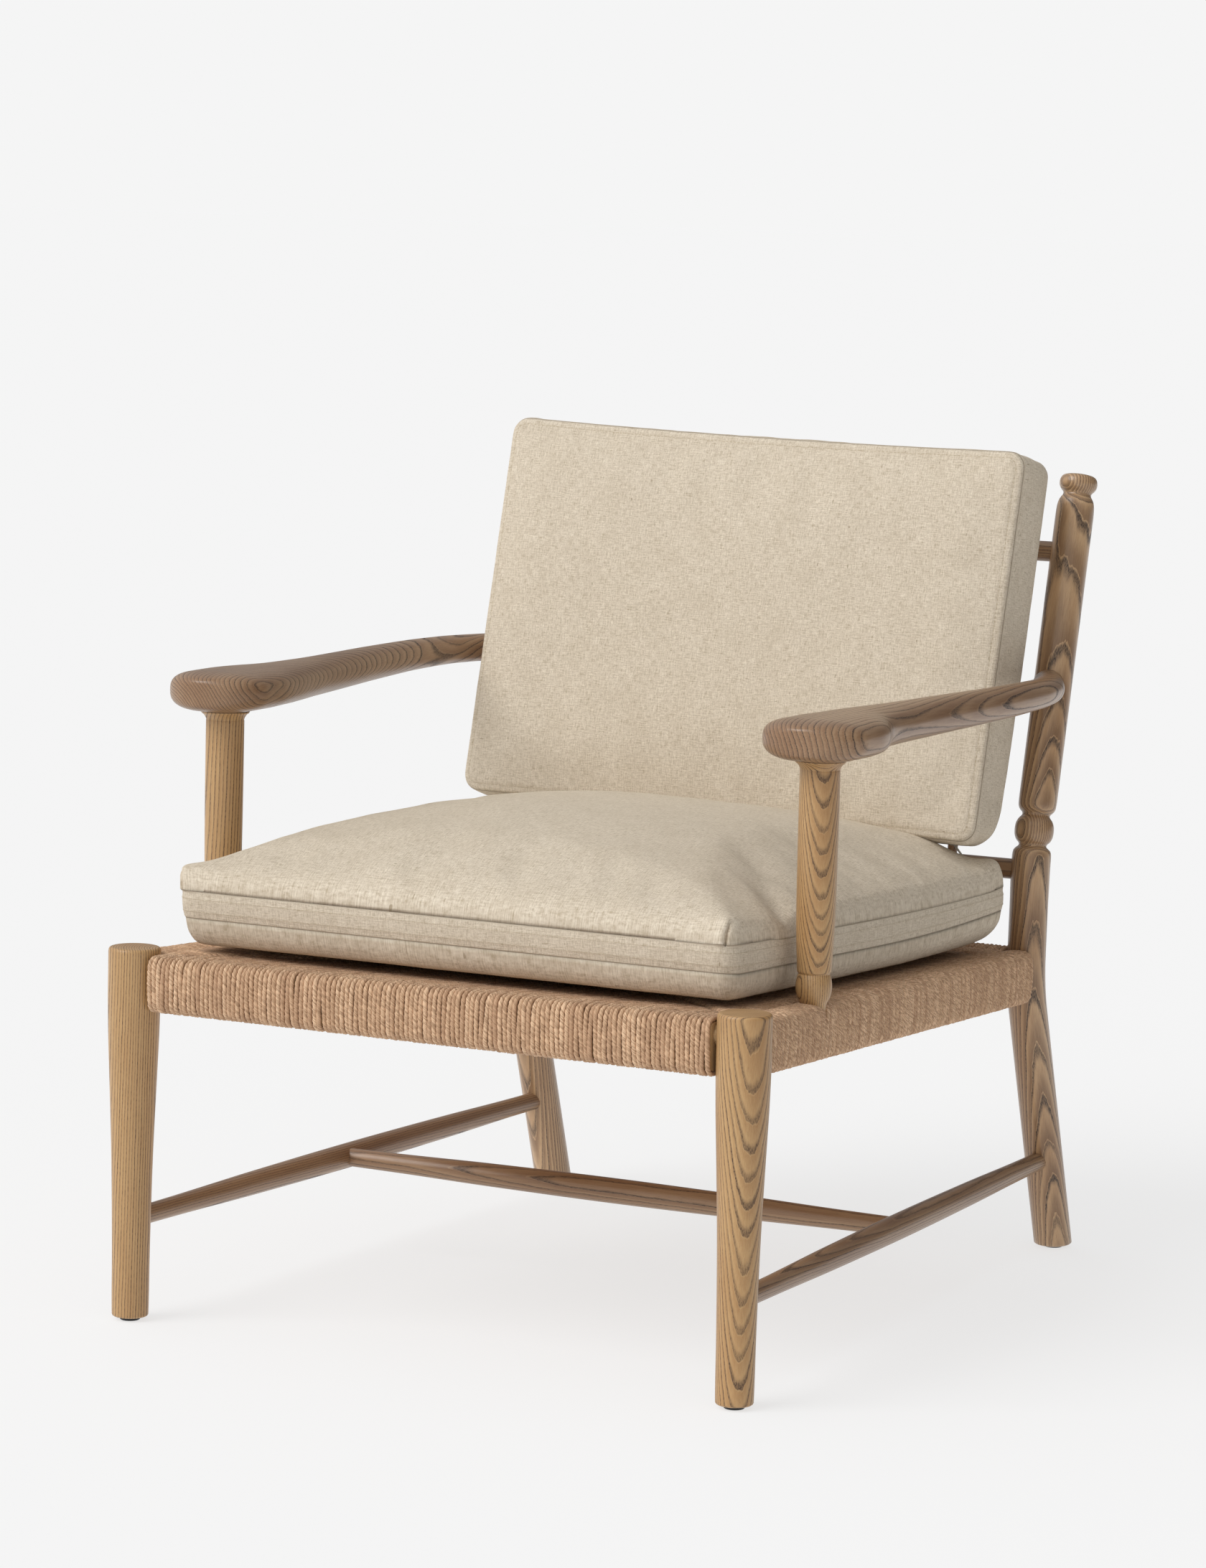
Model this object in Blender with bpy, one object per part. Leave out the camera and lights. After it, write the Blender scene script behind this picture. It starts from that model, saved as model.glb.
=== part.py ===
"""Wooden lounge armchair: a turned and bent ash frame, a seat woven from paper
cord over four rails, and two loose zipped linen cushions.

Metres, +Z up. The chair faces -Y, and +X is the sitter's left. The frame is
drawn with y = 0 on the axis of the front legs, and hangs on one empty that
puts the origin under the middle of the whole chair, on the floor.
"""

import math

import bmesh
import bpy
from mathutils import Matrix, Vector

# ---------------------------------------------------------------- dimensions
GAP = 0.0003                 # play between pieces that touch
BORE_PLAY = 0.0004           # radial play of a tenon in its mortise
SIDES = 16                   # facets around a turned piece
ORIGIN_Y = 0.402115          # from the front legs' axis back to the origin

# legs and posts
LEG_X = 0.3213               # front legs' axes
LEG_TOP = 0.360
LEG_TOP_R = 0.0250
LEG_FOOT_R = 0.0175
POST_X = 0.2939              # rear posts' axes
POST_R = 0.0195
POST_FOOT = (0.8106, 0.0000)     # (y, z) of the post's axis at the floor
POST_BEND_LOW = (0.7105, 0.2885)
POST_BEND_HIGH = (0.7143, 0.4219)
POST_TIP = (0.8081, 0.8020)
GLIDE_R = 0.0097
GLIDE_T = 0.0036
GLIDE_PIN_R = 0.0015

# seat rails and woven cord
RAIL_Z_FRONT = 0.3280        # centre of the front rail and of the side rails' front ends
RAIL_Z_REAR = 0.2985
RAIL_HALF = (0.0132, 0.0220)     # half depth, half height
WRAP_HALF = (0.0182, 0.0270)
SIDE_RAIL_X = (0.3197, 0.2925)   # side rails' centre lines at the front and rear
FRONT_RAIL_Y = -0.0018
REAR_RAIL_Y = 0.7112
TENON_R = 0.0098

# arms and their supports
SUPPORT = (0.3177, 0.1508)
ARM_UNDER = 0.5725
ARM_END_Y = 0.7400
ARM_TENON_R = 0.0080

# stretchers, back rods and spindles
STRETCHER_Z = 0.098
CROSS_Y = 0.378
ROD_R = 0.0103
ROD_LOW_Z = 0.4052
ROD_TOP_Z = 0.7237
SPINDLES = 7

# cushions
SEAT_HALF_W = 0.2955
SEAT_FRONT_Y = 0.036
SEAT_REAR_Y = 0.672
SEAT_BAND = 0.054            # from the underside to the top panel's seam
SEAT_CROWN = 0.084
CUSHION_CORNER = 0.022
BACK_HALF_W = 0.2860
BACK_BOTTOM = (0.6465, 0.4385)   # (y, z) of the middle of the bottom face
BACK_HEIGHT = 0.393
BACK_BAND = (-0.030, 0.045)  # rear and front seams, about the middle plane
BACK_CROWN = (0.032, 0.014)  # swell of the rear and front panels
RECLINE = math.radians(12.6)
COVER_T = 0.0022
ZIP_REACH = 0.245              # half the zips' length
SLIDER_X = 0.238
PULL_SWING = math.radians(44)


# ---------------------------------------------------------------- helpers
for old in list(bpy.data.objects):
    bpy.data.objects.remove(old, do_unlink=True)

scene = bpy.context.scene
chair = bpy.data.objects.new("chair", None)
chair.location = (0.0, -ORIGIN_Y, 0.0)
scene.collection.objects.link(chair)

MATERIALS = {}


def material(name, colour, roughness, metallic=0.0):
    made = bpy.data.materials.new(name)
    made.use_nodes = True
    shader = made.node_tree.nodes["Principled BSDF"]
    shader.inputs["Base Color"].default_value = (*colour, 1.0)
    shader.inputs["Roughness"].default_value = roughness
    shader.inputs["Metallic"].default_value = metallic
    made.diffuse_color = (*colour, 1.0)
    MATERIALS[name] = made
    return made


def add(name, bm, look, location=(0, 0, 0), rotation=None, smooth=True):
    """A named object from a bmesh, hung on the chair's empty."""
    bmesh.ops.recalc_face_normals(bm, faces=bm.faces)
    mesh = bpy.data.meshes.new(name)
    bm.to_mesh(mesh)
    bm.free()
    if look is not None:
        colour, roughness, metallic = look
        mesh.materials.append(material(name, colour, roughness, metallic))
    if smooth:
        mesh.shade_smooth()
        mesh.set_sharp_from_angle(angle=math.radians(40))
    obj = bpy.data.objects.new(name, mesh)
    obj.parent = chair
    obj.location = location
    if rotation is not None:
        obj.rotation_mode = "QUATERNION"
        obj.rotation_quaternion = rotation
    scene.collection.objects.link(obj)
    return obj


def cutter(name, bm, location=(0, 0, 0), rotation=None):
    """A guide solid for a Boolean: hidden, and not part of the chair."""
    obj = add(name, bm, None, location, rotation, smooth=False)
    obj.hide_render = True
    obj.display_type = "WIRE"
    return obj


def boolean(obj, other, operation="DIFFERENCE"):
    modifier = obj.modifiers.new(f"{operation.lower()} {other.name}", "BOOLEAN")
    modifier.operation = operation
    modifier.solver = "EXACT"
    modifier.object = other
    return modifier


def loft(rings):
    """A closed skin over rings of equally many points, capped at both ends."""
    bm = bmesh.new()
    rows = [[bm.verts.new(p) for p in ring] for ring in rings]
    count = len(rows[0])
    for low, high in zip(rows, rows[1:]):
        for i in range(count):
            j = (i + 1) % count
            bm.faces.new((low[i], low[j], high[j], high[i]))
    bm.faces.new(list(reversed(rows[0])))
    bm.faces.new(rows[-1])
    return bm


def circle(centre, u, v, ru, rv=None, sides=SIDES, power=2.0):
    """Points of a circle, an ellipse or a squarer oval about centre."""
    rv = ru if rv is None else rv
    points = []
    for i in range(sides):
        t = 2 * math.pi * i / sides
        c, s = math.cos(t), math.sin(t)
        c = math.copysign(abs(c) ** (2 / power), c)
        s = math.copysign(abs(s) ** (2 / power), s)
        points.append(Vector(centre) + Vector(u) * (ru * c) + Vector(v) * (rv * s))
    return points


X, Y, Z = Vector((1, 0, 0)), Vector((0, 1, 0)), Vector((0, 0, 1))


def turned(profile, sides=SIDES):
    """A solid of revolution about Z from (z, radius) pairs, bottom to top."""
    return loft([circle((0, 0, z), X, Y, r, sides=sides) for z, r in profile])


def rod(start, end, profile, sides=SIDES, flat=1.0):
    """A turned piece between two points, from (fraction, radius) pairs. flat
    is the ratio of its height to its width."""
    start, end = Vector(start), Vector(end)
    along = (end - start).normalized()
    side = along.cross(Z).normalized() if abs(along.z) < 0.9 else X.copy()
    up = side.cross(along).normalized()
    return loft(
        [
            circle(start.lerp(end, f), side, up, r / flat, r, sides=sides)
            for f, r in profile
        ]
    )


def bar(start, end, r, sides=SIDES):
    return rod(start, end, [(0, r), (1, r)], sides)


def beam(start, end, half, corner, sides=5):
    """A rounded rectangular rail between two points; half is (depth, height)."""
    start, end = Vector(start), Vector(end)
    along = (end - start).normalized()
    side = along.cross(Z).normalized()
    up = side.cross(along).normalized()
    ring = []
    for quarter, (sx, sz) in enumerate(((1, 1), (-1, 1), (-1, -1), (1, -1))):
        for k in range(sides):
            t = math.pi / 2 * (quarter + k / (sides - 1))
            ring.append(
                (
                    sx * (half[0] - corner) + corner * math.cos(t),
                    sz * (half[1] - corner) + corner * math.sin(t),
                )
            )
    return loft([[p + side * a + up * b for a, b in ring] for p in (start, end)])


ASH_LIGHT = ((0.50, 0.34, 0.19), 0.42, 0.0)
ASH_DARK = ((0.33, 0.20, 0.11), 0.38, 0.0)
ASH_RAW = ((0.60, 0.45, 0.29), 0.55, 0.0)
CORD = ((0.55, 0.36, 0.22), 0.80, 0.0)
LINEN = ((0.62, 0.55, 0.43), 0.92, 0.0)
FOAM = ((0.85, 0.82, 0.72), 0.95, 0.0)
BLACK = ((0.02, 0.02, 0.02), 0.50, 0.0)
METAL = ((0.75, 0.75, 0.73), 0.35, 1.0)

SIDE_NAMES = ((1, "left"), (-1, "right"))


# ---------------------------------------------------------------- rear posts
def post_axis(z):
    """(y, slope dy/dz) of the post's axis at height z, with eased bends."""
    (yf, zf), (y1, z1), (y2, z2), (y3, z3) = (
        POST_FOOT,
        POST_BEND_LOW,
        POST_BEND_HIGH,
        POST_TIP,
    )
    low, mid, high = (y1 - yf) / (z1 - zf), (y2 - y1) / (z2 - z1), (y3 - y2) / (z3 - z2)
    ease = 0.030

    def step(bend):
        """Integral of a ramp from 0 to 1 over the bend, and the ramp."""
        t = (z - bend + ease) / (2 * ease)
        if t <= 0:
            return 0.0, 0.0
        if t >= 1:
            return z - bend, 1.0
        return ease * t * t, t

    s1, r1 = step(z1)
    s2, r2 = step(z2)
    y = yf + low * (z - zf) + (mid - low) * s1 + (high - mid) * s2
    return y, low + (mid - low) * r1 + (high - mid) * r2


POST_PROFILE = (
    [(GLIDE_T + GAP, POST_R - 0.0016), (GLIDE_T + 0.002, POST_R)]
    + [(0.03, POST_R), (0.13, POST_R), (0.23, POST_R)]
    + [(0.260 + 0.0142 * i, POST_R) for i in range(5)]
    + [(0.370, POST_R), (0.393, 0.01975), (0.408, 0.01975), (0.4205, 0.01975)]
    + [(0.4260, 0.0185), (0.4290, 0.0160), (0.4312, 0.0141)]
    + [(0.4336, 0.0150), (0.4370, 0.0183), (0.4412, 0.0196), (0.4455, 0.01985)]
    + [(0.4498, 0.0196), (0.4540, 0.0183), (0.4585, 0.0150)]
    + [(0.4612, 0.0141), (0.4630, 0.0155), (0.4665, 0.0182), (0.4720, 0.0193)]
    + [(0.550, 0.0194), (0.650, 0.0194), (0.7660, 0.0193), (0.7730, 0.0183)]
    + [(0.7785, 0.0160), (0.7825, 0.0141), (0.7850, 0.0152), (0.7880, 0.0182)]
    + [(0.7930, 0.0193), (0.7975, 0.0182), (0.8006, 0.0150), (0.8020, 0.0098)]
)


def post_rings(extra=0.0):
    rings = []
    for z, r in POST_PROFILE:
        y, slope = post_axis(z)
        if z < 0.01:         # the foot is cut level with the floor
            rings.append(
                circle((0, y, z), X, Y, r + extra, (r + extra) * 1.055)
            )
            continue
        along = Vector((0, slope, 1)).normalized()
        across = Vector((0, along.z, -along.y))
        rings.append(circle((0, y, z), X, across, r + extra))
    return rings


posts = {}
for sign, side in SIDE_NAMES:
    posts[side] = add(
        f"rear_post_{side}", loft(post_rings()), ASH_DARK, (sign * POST_X, 0, 0)
    )

# ---------------------------------------------------------------- front legs
LEG_PROFILE = [
    (GLIDE_T + GAP, LEG_FOOT_R - 0.0014),
    (GLIDE_T + 0.002, LEG_FOOT_R),
    (0.060, 0.0180),
    (0.120, 0.0189),
    (0.169, 0.0201),
    (0.205, 0.0214),
    (0.240, 0.0228),
    (0.280, 0.0243),
    (0.320, LEG_TOP_R),
    (LEG_TOP - 0.0022, LEG_TOP_R),
    (LEG_TOP - 0.0006, LEG_TOP_R - 0.0008),
    (LEG_TOP, LEG_TOP_R - 0.0024),
]
legs = {}
for sign, side in SIDE_NAMES:
    legs[side] = add(
        f"front_leg_{side}", turned(LEG_PROFILE, 20), ASH_LIGHT, (sign * LEG_X, 0, 0)
    )


def side_rail_point(y, sign):
    """Centre of a side rail at depth y."""
    f = y / REAR_RAIL_Y
    return Vector(
        (
            sign * (SIDE_RAIL_X[0] + (SIDE_RAIL_X[1] - SIDE_RAIL_X[0]) * f),
            y,
            RAIL_Z_FRONT + (RAIL_Z_REAR - RAIL_Z_FRONT) * f,
        )
    )


# ---------------------------------------------------------------- seat rails
def add_rail(name, start, end, tenons, look=ASH_RAW):
    """A rail with a round tenon at each end; tenons are (from, to) pairs."""
    rail = add(name, beam(start, end, RAIL_HALF, 0.006), look)
    for k, (a, b) in enumerate(tenons):
        boolean(rail, cutter(f"{name}_tenon_{k}", bar(a, b, TENON_R, 12)), "UNION")
    return rail


front_z, rear_z = RAIL_Z_FRONT, RAIL_Z_REAR
leg_face = LEG_X - LEG_TOP_R - 0.0010
post_face = POST_X - POST_R - 0.0010
front_tenon_z, rear_tenon_z = front_z + 0.0108, rear_z + 0.0105
add_rail(
    "seat_rail_front",
    (-leg_face, FRONT_RAIL_Y, front_z),
    (leg_face, FRONT_RAIL_Y, front_z),
    [
        ((s * (leg_face - 0.02), 0, front_tenon_z), (s * (LEG_X + 0.001), 0, front_tenon_z))
        for s in (1, -1)
    ],
)
add_rail(
    "seat_rail_rear",
    (-post_face, REAR_RAIL_Y, rear_z),
    (post_face, REAR_RAIL_Y, rear_z),
    [
        ((s * (post_face - 0.02), REAR_RAIL_Y, rear_tenon_z), (s * POST_X, REAR_RAIL_Y, rear_tenon_z))
        for s in (1, -1)
    ],
)
SIDE_RAIL_SPAN = (LEG_TOP_R + 0.0016, REAR_RAIL_Y - POST_R - 0.0022)
side_tenons = {}
side_rails = {}
for sign, side in SIDE_NAMES:
    a = side_rail_point(SIDE_RAIL_SPAN[0], sign)
    b = side_rail_point(SIDE_RAIL_SPAN[1], sign)
    drop = Vector((0, 0, -0.0112))
    front_tenon = (side_rail_point(0.045, sign) + drop, side_rail_point(0.001, sign) + drop)
    rear_tenon = (side_rail_point(0.670, sign) + drop, side_rail_point(0.7122, sign) + drop)
    side_tenons[side] = (front_tenon, rear_tenon)
    side_rails[side] = add_rail(f"seat_rail_{side}", a, b, side_tenons[side])

for sign, side in SIDE_NAMES:
    # each leg takes the front rail from the side and the side rail from behind
    far = (sign * (LEG_X + 0.0015), 0, front_tenon_z)
    near = (sign * (LEG_X - 0.05), 0, front_tenon_z)
    boolean(legs[side], cutter(f"leg_mortise_a_{side}", bar(near, far, TENON_R + BORE_PLAY, 12)))
    a, b = side_tenons[side][0]
    boolean(
        legs[side],
        cutter(f"leg_mortise_b_{side}", bar(a, b + (b - a).normalized() * 0.0006, TENON_R + BORE_PLAY, 12)),
    )
    near = (sign * (POST_X - 0.05), REAR_RAIL_Y, rear_tenon_z)
    far = (sign * (POST_X + 0.0006), REAR_RAIL_Y, rear_tenon_z)
    boolean(posts[side], cutter(f"post_mortise_a_{side}", bar(near, far, TENON_R + BORE_PLAY, 12)))
    a, b = side_tenons[side][1]
    boolean(
        posts[side],
        cutter(f"post_mortise_b_{side}", bar(a, b + (b - a).normalized() * 0.0006, TENON_R + BORE_PLAY, 12)),
    )

# ---------------------------------------------------------------- woven seat
SEAT_SLOPE = (RAIL_Z_REAR - RAIL_Z_FRONT) / REAR_RAIL_Y


def weave_slab():
    """The two woven layers between the rails, dished a little to the middle."""
    bm = bmesh.new()
    steps_x, steps_y = 8, 8
    rows = {1: [], -1: []}
    for layer in (1, -1):
        for j in range(steps_y + 1):
            fy = j / steps_y
            y = FRONT_RAIL_Y + (REAR_RAIL_Y - FRONT_RAIL_Y) * fy
            mid = side_rail_point(y, 1)
            row = []
            for i in range(steps_x + 1):
                fx = 2 * i / steps_x - 1
                dish = (1 - fx**4) * (1 - (2 * fy - 1) ** 4)
                if layer == 1:
                    z = mid.z + WRAP_HALF[1] - 0.0040 - 0.0060 * dish
                else:
                    z = mid.z - WRAP_HALF[1] + 0.0040 + 0.0140 * dish
                row.append(bm.verts.new((fx * mid.x, y, z)))
            rows[layer].append(row)
    for layer in (1, -1):
        for j in range(steps_y):
            for i in range(steps_x):
                r = rows[layer]
                quad = (r[j][i], r[j][i + 1], r[j + 1][i + 1], r[j + 1][i])
                bm.faces.new(quad if layer == 1 else tuple(reversed(quad)))
    top, low = rows[1], rows[-1]
    for i in range(steps_x):
        bm.faces.new((low[0][i], low[0][i + 1], top[0][i + 1], top[0][i]))
        bm.faces.new((top[-1][i], top[-1][i + 1], low[-1][i + 1], low[-1][i]))
    for j in range(steps_y):
        bm.faces.new((top[j][0], top[j + 1][0], low[j + 1][0], low[j][0]))
        bm.faces.new((low[j][-1], low[j + 1][-1], top[j + 1][-1], top[j][-1]))
    return bm


woven = add("woven_seat", weave_slab(), CORD)
wrap_corner = 0.0100
ends = LEG_X - 0.012
for name, start, end in (
    ("wrap_front", (-ends, FRONT_RAIL_Y, front_z), (ends, FRONT_RAIL_Y, front_z)),
    (
        "wrap_rear",
        (-POST_X + 0.006, REAR_RAIL_Y, rear_z),
        (POST_X - 0.006, REAR_RAIL_Y, rear_z),
    ),
    ("wrap_left", side_rail_point(0.010, 1), side_rail_point(0.704, 1)),
    ("wrap_right", side_rail_point(0.010, -1), side_rail_point(0.704, -1)),
):
    boolean(woven, cutter(name, beam(start, end, WRAP_HALF, wrap_corner)), "UNION")
channel = (RAIL_HALF[0] + BORE_PLAY, RAIL_HALF[1] + BORE_PLAY)
for name, start, end in (
    ("channel_front", (-ends - 0.03, FRONT_RAIL_Y, front_z), (ends + 0.03, FRONT_RAIL_Y, front_z)),
    ("channel_rear", (-POST_X - 0.03, REAR_RAIL_Y, rear_z), (POST_X + 0.03, REAR_RAIL_Y, rear_z)),
    ("channel_left", side_rail_point(-0.02, 1), side_rail_point(0.74, 1)),
    ("channel_right", side_rail_point(-0.02, -1), side_rail_point(0.74, -1)),
):
    boolean(woven, cutter(name, beam(start, end, channel, 0.006)))
for sign, side in SIDE_NAMES:
    clear_leg = [(-0.02, LEG_TOP_R + 0.0005), (0.42, LEG_TOP_R + 0.0005)]
    boolean(woven, cutter(f"leg_clearance_{side}", turned(clear_leg, 20), (sign * LEG_X, 0, 0)))
    wide = post_rings(0.0006)
    boolean(woven, cutter(f"post_clearance_{side}", loft(wide[5:16]), (sign * POST_X, 0, 0)))

# ---------------------------------------------------------------- arm supports
SUPPORT_PROFILE = [
    (0.3180, 0.0105),
    (0.3190, 0.0112),
    (0.3500, 0.0120),
    (0.3545, 0.0128),
    (0.3580, 0.0152),
    (0.3637, 0.0168),
    (0.3695, 0.0158),
    (0.3735, 0.0152),
    (0.3765, 0.0152),
    (0.3795, 0.0156),
    (0.3850, 0.0160),
    (0.4020, 0.0171),
    (0.4280, 0.0180),
    (0.4700, 0.0184),
    (0.5200, 0.0186),
    (0.5640, 0.0186),
    (0.5665, 0.0190),
    (0.5690, 0.0208),
    (0.5708, 0.0234),
    (ARM_UNDER - GAP, 0.0238),
]
supports = {}
for sign, side in SIDE_NAMES:
    piece = add(
        f"arm_support_{side}",
        turned(SUPPORT_PROFILE),
        ASH_LIGHT,
        (sign * SUPPORT[0], SUPPORT[1], 0),
    )
    boolean(
        piece,
        cutter(
            f"support_tenon_{side}",
            bar((sign * SUPPORT[0], SUPPORT[1], 0.56), (sign * SUPPORT[0], SUPPORT[1], 0.5920), 0.0090, 12),
        ),
        "UNION",
    )
    supports[side] = piece
    hole = [(0.3170, 0.0124), (0.3600, 0.0133)]
    socket = cutter(f"support_socket_{side}", turned(hole), (sign * SUPPORT[0], SUPPORT[1], 0))
    boolean(woven, socket)
    boolean(side_rails[side], socket)


# ---------------------------------------------------------------- arms
def between(table, t):
    """Smooth interpolation in a table of (t, value) pairs."""
    if t <= table[0][0]:
        return table[0][1]
    for (t0, v0), (t1, v1) in zip(table, table[1:]):
        if t <= t1:
            f = (t - t0) / (t1 - t0)
            f = f * f * (3 - 2 * f) * 0.35 + f * 0.65
            return v0 + (v1 - v0) * f
    return table[-1][1]


ARM_NOSE_Y = 0.0975
ARM_OUTER = [(0.145, 0.3702), (0.180, 0.3700), (0.198, 0.3660), (0.218, 0.3560), (0.245, 0.3488)]
ARM_OUTER += [(0.300, 0.3468), (0.380, 0.3482), (0.460, 0.3520), (0.540, 0.3545), (0.610, 0.3520)]
ARM_OUTER += [(0.660, 0.3440), (0.700, 0.3300), (0.730, 0.3150), (0.760, 0.3060)]
ARM_INNER = [(0.145, 0.2652), (0.180, 0.2672), (0.220, 0.2735), (0.260, 0.2815), (0.320, 0.2920)]
ARM_INNER += [(0.400, 0.3030), (0.480, 0.3125), (0.560, 0.3185), (0.610, 0.3175), (0.660, 0.3090)]
ARM_INNER += [(0.700, 0.2965), (0.730, 0.2830), (0.760, 0.2760)]
ARM_HALF_T = [(0.1, 0.0198), (0.26, 0.0196), (0.34, 0.0188), (0.45, 0.0173), (0.55, 0.0158)]
ARM_HALF_T += [(0.65, 0.0145), (0.76, 0.0140)]
ARM_MID_Z = [(0.1, 0.5923), (0.3, 0.5928), (0.45, 0.5945), (0.6, 0.5955), (0.76, 0.5935)]
ARM_STATIONS = [0.180, 0.198, 0.218, 0.245, 0.30, 0.38, 0.46, 0.54, 0.61, 0.66, 0.70, 0.73, 0.76]


def arm_ring(y, sign, shrink=1.0, squash=1.0, sides=20):
    outer, inner = between(ARM_OUTER, y), between(ARM_INNER, y)
    mid, half = (outer + inner) / 2, (outer - inner) / 2 * shrink
    thick = between(ARM_HALF_T, y) * squash
    z = between(ARM_MID_Z, y)
    power = 2.0 + 0.8 * max(0.0, min(1.0, (0.30 - y) / 0.12))
    ring = circle((sign * mid, y, z), X * sign, Z, half, thick, sides, power)
    for p in ring:
        p.z = max(p.z, ARM_UNDER) if y < 0.26 else p.z
    return ring


def arm_rings(sign):
    rings = []
    reach = 0.145 - ARM_NOSE_Y
    for a in (4, 18, 34, 52, 72):
        t = math.radians(a)
        y = 0.145 - reach * math.cos(t)
        shrink = math.sin(t) ** 0.85
        squash = min(1.0, 0.42 + 0.62 * math.sin(t) ** 0.6)
        rings.append(arm_ring(y, sign, shrink, squash))
    rings += [arm_ring(0.150, sign)]
    rings += [arm_ring(y, sign) for y in ARM_STATIONS]
    return rings


for sign, side in SIDE_NAMES:
    arm = add(f"arm_{side}", loft(arm_rings(sign)), ASH_DARK)
    y_post, slope = post_axis(0.5935)
    lean = Vector((0, slope, 1)).normalized()
    foot = Vector((sign * POST_X, y_post, 0.5935))
    scribe = cutter(
        f"arm_scribe_{side}",
        bar(foot - lean * 0.06, foot + lean * 0.06, 0.0194 + GAP + 0.0003, SIDES),
    )
    boolean(arm, scribe)
    tenon_a = Vector((sign * 0.2975, 0.705, 0.5935))
    tenon_b = Vector((sign * 0.2945, y_post + 0.006, 0.5935))
    boolean(arm, cutter(f"arm_tenon_{side}", bar(tenon_a, tenon_b, ARM_TENON_R, 12)), "UNION")
    top = bar(
        (sign * SUPPORT[0], SUPPORT[1], 0.55),
        (sign * SUPPORT[0], SUPPORT[1], 0.5925),
        0.0090 + BORE_PLAY,
        12,
    )
    boolean(arm, cutter(f"arm_socket_{side}", top))
    reach = (tenon_b - tenon_a).normalized()
    bore = bar(tenon_a, tenon_b + reach * 0.0006, ARM_TENON_R + BORE_PLAY, 12)
    boolean(posts[side], cutter(f"post_mortise_c_{side}", bore))

# ---------------------------------------------------------------- stretchers
STRETCHER = [
    (0.0, 0.0092),
    (0.10, 0.0098),
    (0.28, 0.0117),
    (0.50, 0.0126),
    (0.72, 0.0117),
    (0.90, 0.0098),
    (1.0, 0.0092),
]
post_y, _ = post_axis(STRETCHER_Z)
for sign, side in SIDE_NAMES:
    start = Vector((sign * LEG_X, 0.0, STRETCHER_Z))
    end = Vector((sign * POST_X, post_y, STRETCHER_Z))
    stretcher = add(f"side_stretcher_{side}", rod(start, end, STRETCHER, 14, 1.04), ASH_DARK)
    along = (end - start).normalized()
    for post, name, tip, way in (
        (legs[side], "leg", start, along),
        (posts[side], "post", end, -along),
    ):
        bore = bar(tip - way * 0.0006, tip + way * 0.05, 0.0094 + BORE_PLAY, 14)
        boolean(post, cutter(f"{name}_mortise_s_{side}", bore))
    hit = start.lerp(end, CROSS_Y / post_y)
    bore = bar(
        (hit.x - sign * 0.05, hit.y, STRETCHER_Z),
        (hit.x - sign * 0.0006, hit.y, STRETCHER_Z),
        0.0060 + BORE_PLAY,
        12,
    )
    boolean(stretcher, cutter(f"cross_mortise_{side}", bore))

cross_x = LEG_X + (POST_X - LEG_X) * CROSS_Y / post_y
butt = cross_x - 0.0126 - GAP * 2
cross = add(
    "cross_stretcher",
    rod((-butt, CROSS_Y, STRETCHER_Z), (butt, CROSS_Y, STRETCHER_Z), STRETCHER, 14, 1.04),
    ASH_DARK,
)
for sign, side in SIDE_NAMES:
    boolean(
        cross,
        cutter(
            f"cross_tenon_{side}",
            bar(
                (sign * (butt - 0.01), CROSS_Y, STRETCHER_Z),
                (sign * (cross_x - 0.0012), CROSS_Y, STRETCHER_Z),
                0.0060,
                12,
            ),
        ),
        "UNION",
    )

# ---------------------------------------------------------------- back rods
rods = {}
for name, z in (("low", ROD_LOW_Z), ("top", ROD_TOP_Z)):
    y, _ = post_axis(z)
    reach = POST_X - 0.0065
    rods[name] = add(f"back_rod_{name}", bar((-reach, y, z), (reach, y, z), ROD_R, 14), ASH_DARK)
    for sign, side in SIDE_NAMES:
        bore = bar(
            (sign * (POST_X - 0.05), y, z),
            (sign * (POST_X - 0.0060), y, z),
            ROD_R + BORE_PLAY,
            14,
        )
        boolean(posts[side], cutter(f"rod_mortise_{name}_{side}", bore))

low_y, high_y = post_axis(ROD_LOW_Z)[0], post_axis(ROD_TOP_Z)[0]
spindle_low = Vector((0, low_y, ROD_LOW_Z))
spindle_top = Vector((0, high_y, ROD_TOP_Z))
lean = (spindle_top - spindle_low).normalized()
SPINDLE = [(0.0, 0.0045), (0.035, 0.0050), (0.25, 0.0074), (0.5, 0.0082), (0.75, 0.0074)]
SPINDLE += [(0.965, 0.0050), (1.0, 0.0045)]
pitch = 2 * (POST_X - POST_R) / (SPINDLES + 1)
for k in range(SPINDLES):
    x = (k - (SPINDLES - 1) / 2) * pitch
    shift = Vector((x, 0, 0))
    a, b = spindle_low + lean * 0.0015, spindle_top - lean * 0.0015
    add(f"back_spindle_{k + 1}", rod(a + shift, b + shift, SPINDLE, 10), ASH_DARK)
    for name, tip, way in (("low", a, lean), ("top", b, -lean)):
        bore = bar(
            tip + shift - way * 0.0006, tip + shift + way * 0.02, 0.0050 + BORE_PLAY, 10
        )
        boolean(rods[name], cutter(f"spindle_hole_{name}_{k + 1}", bore))

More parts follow.
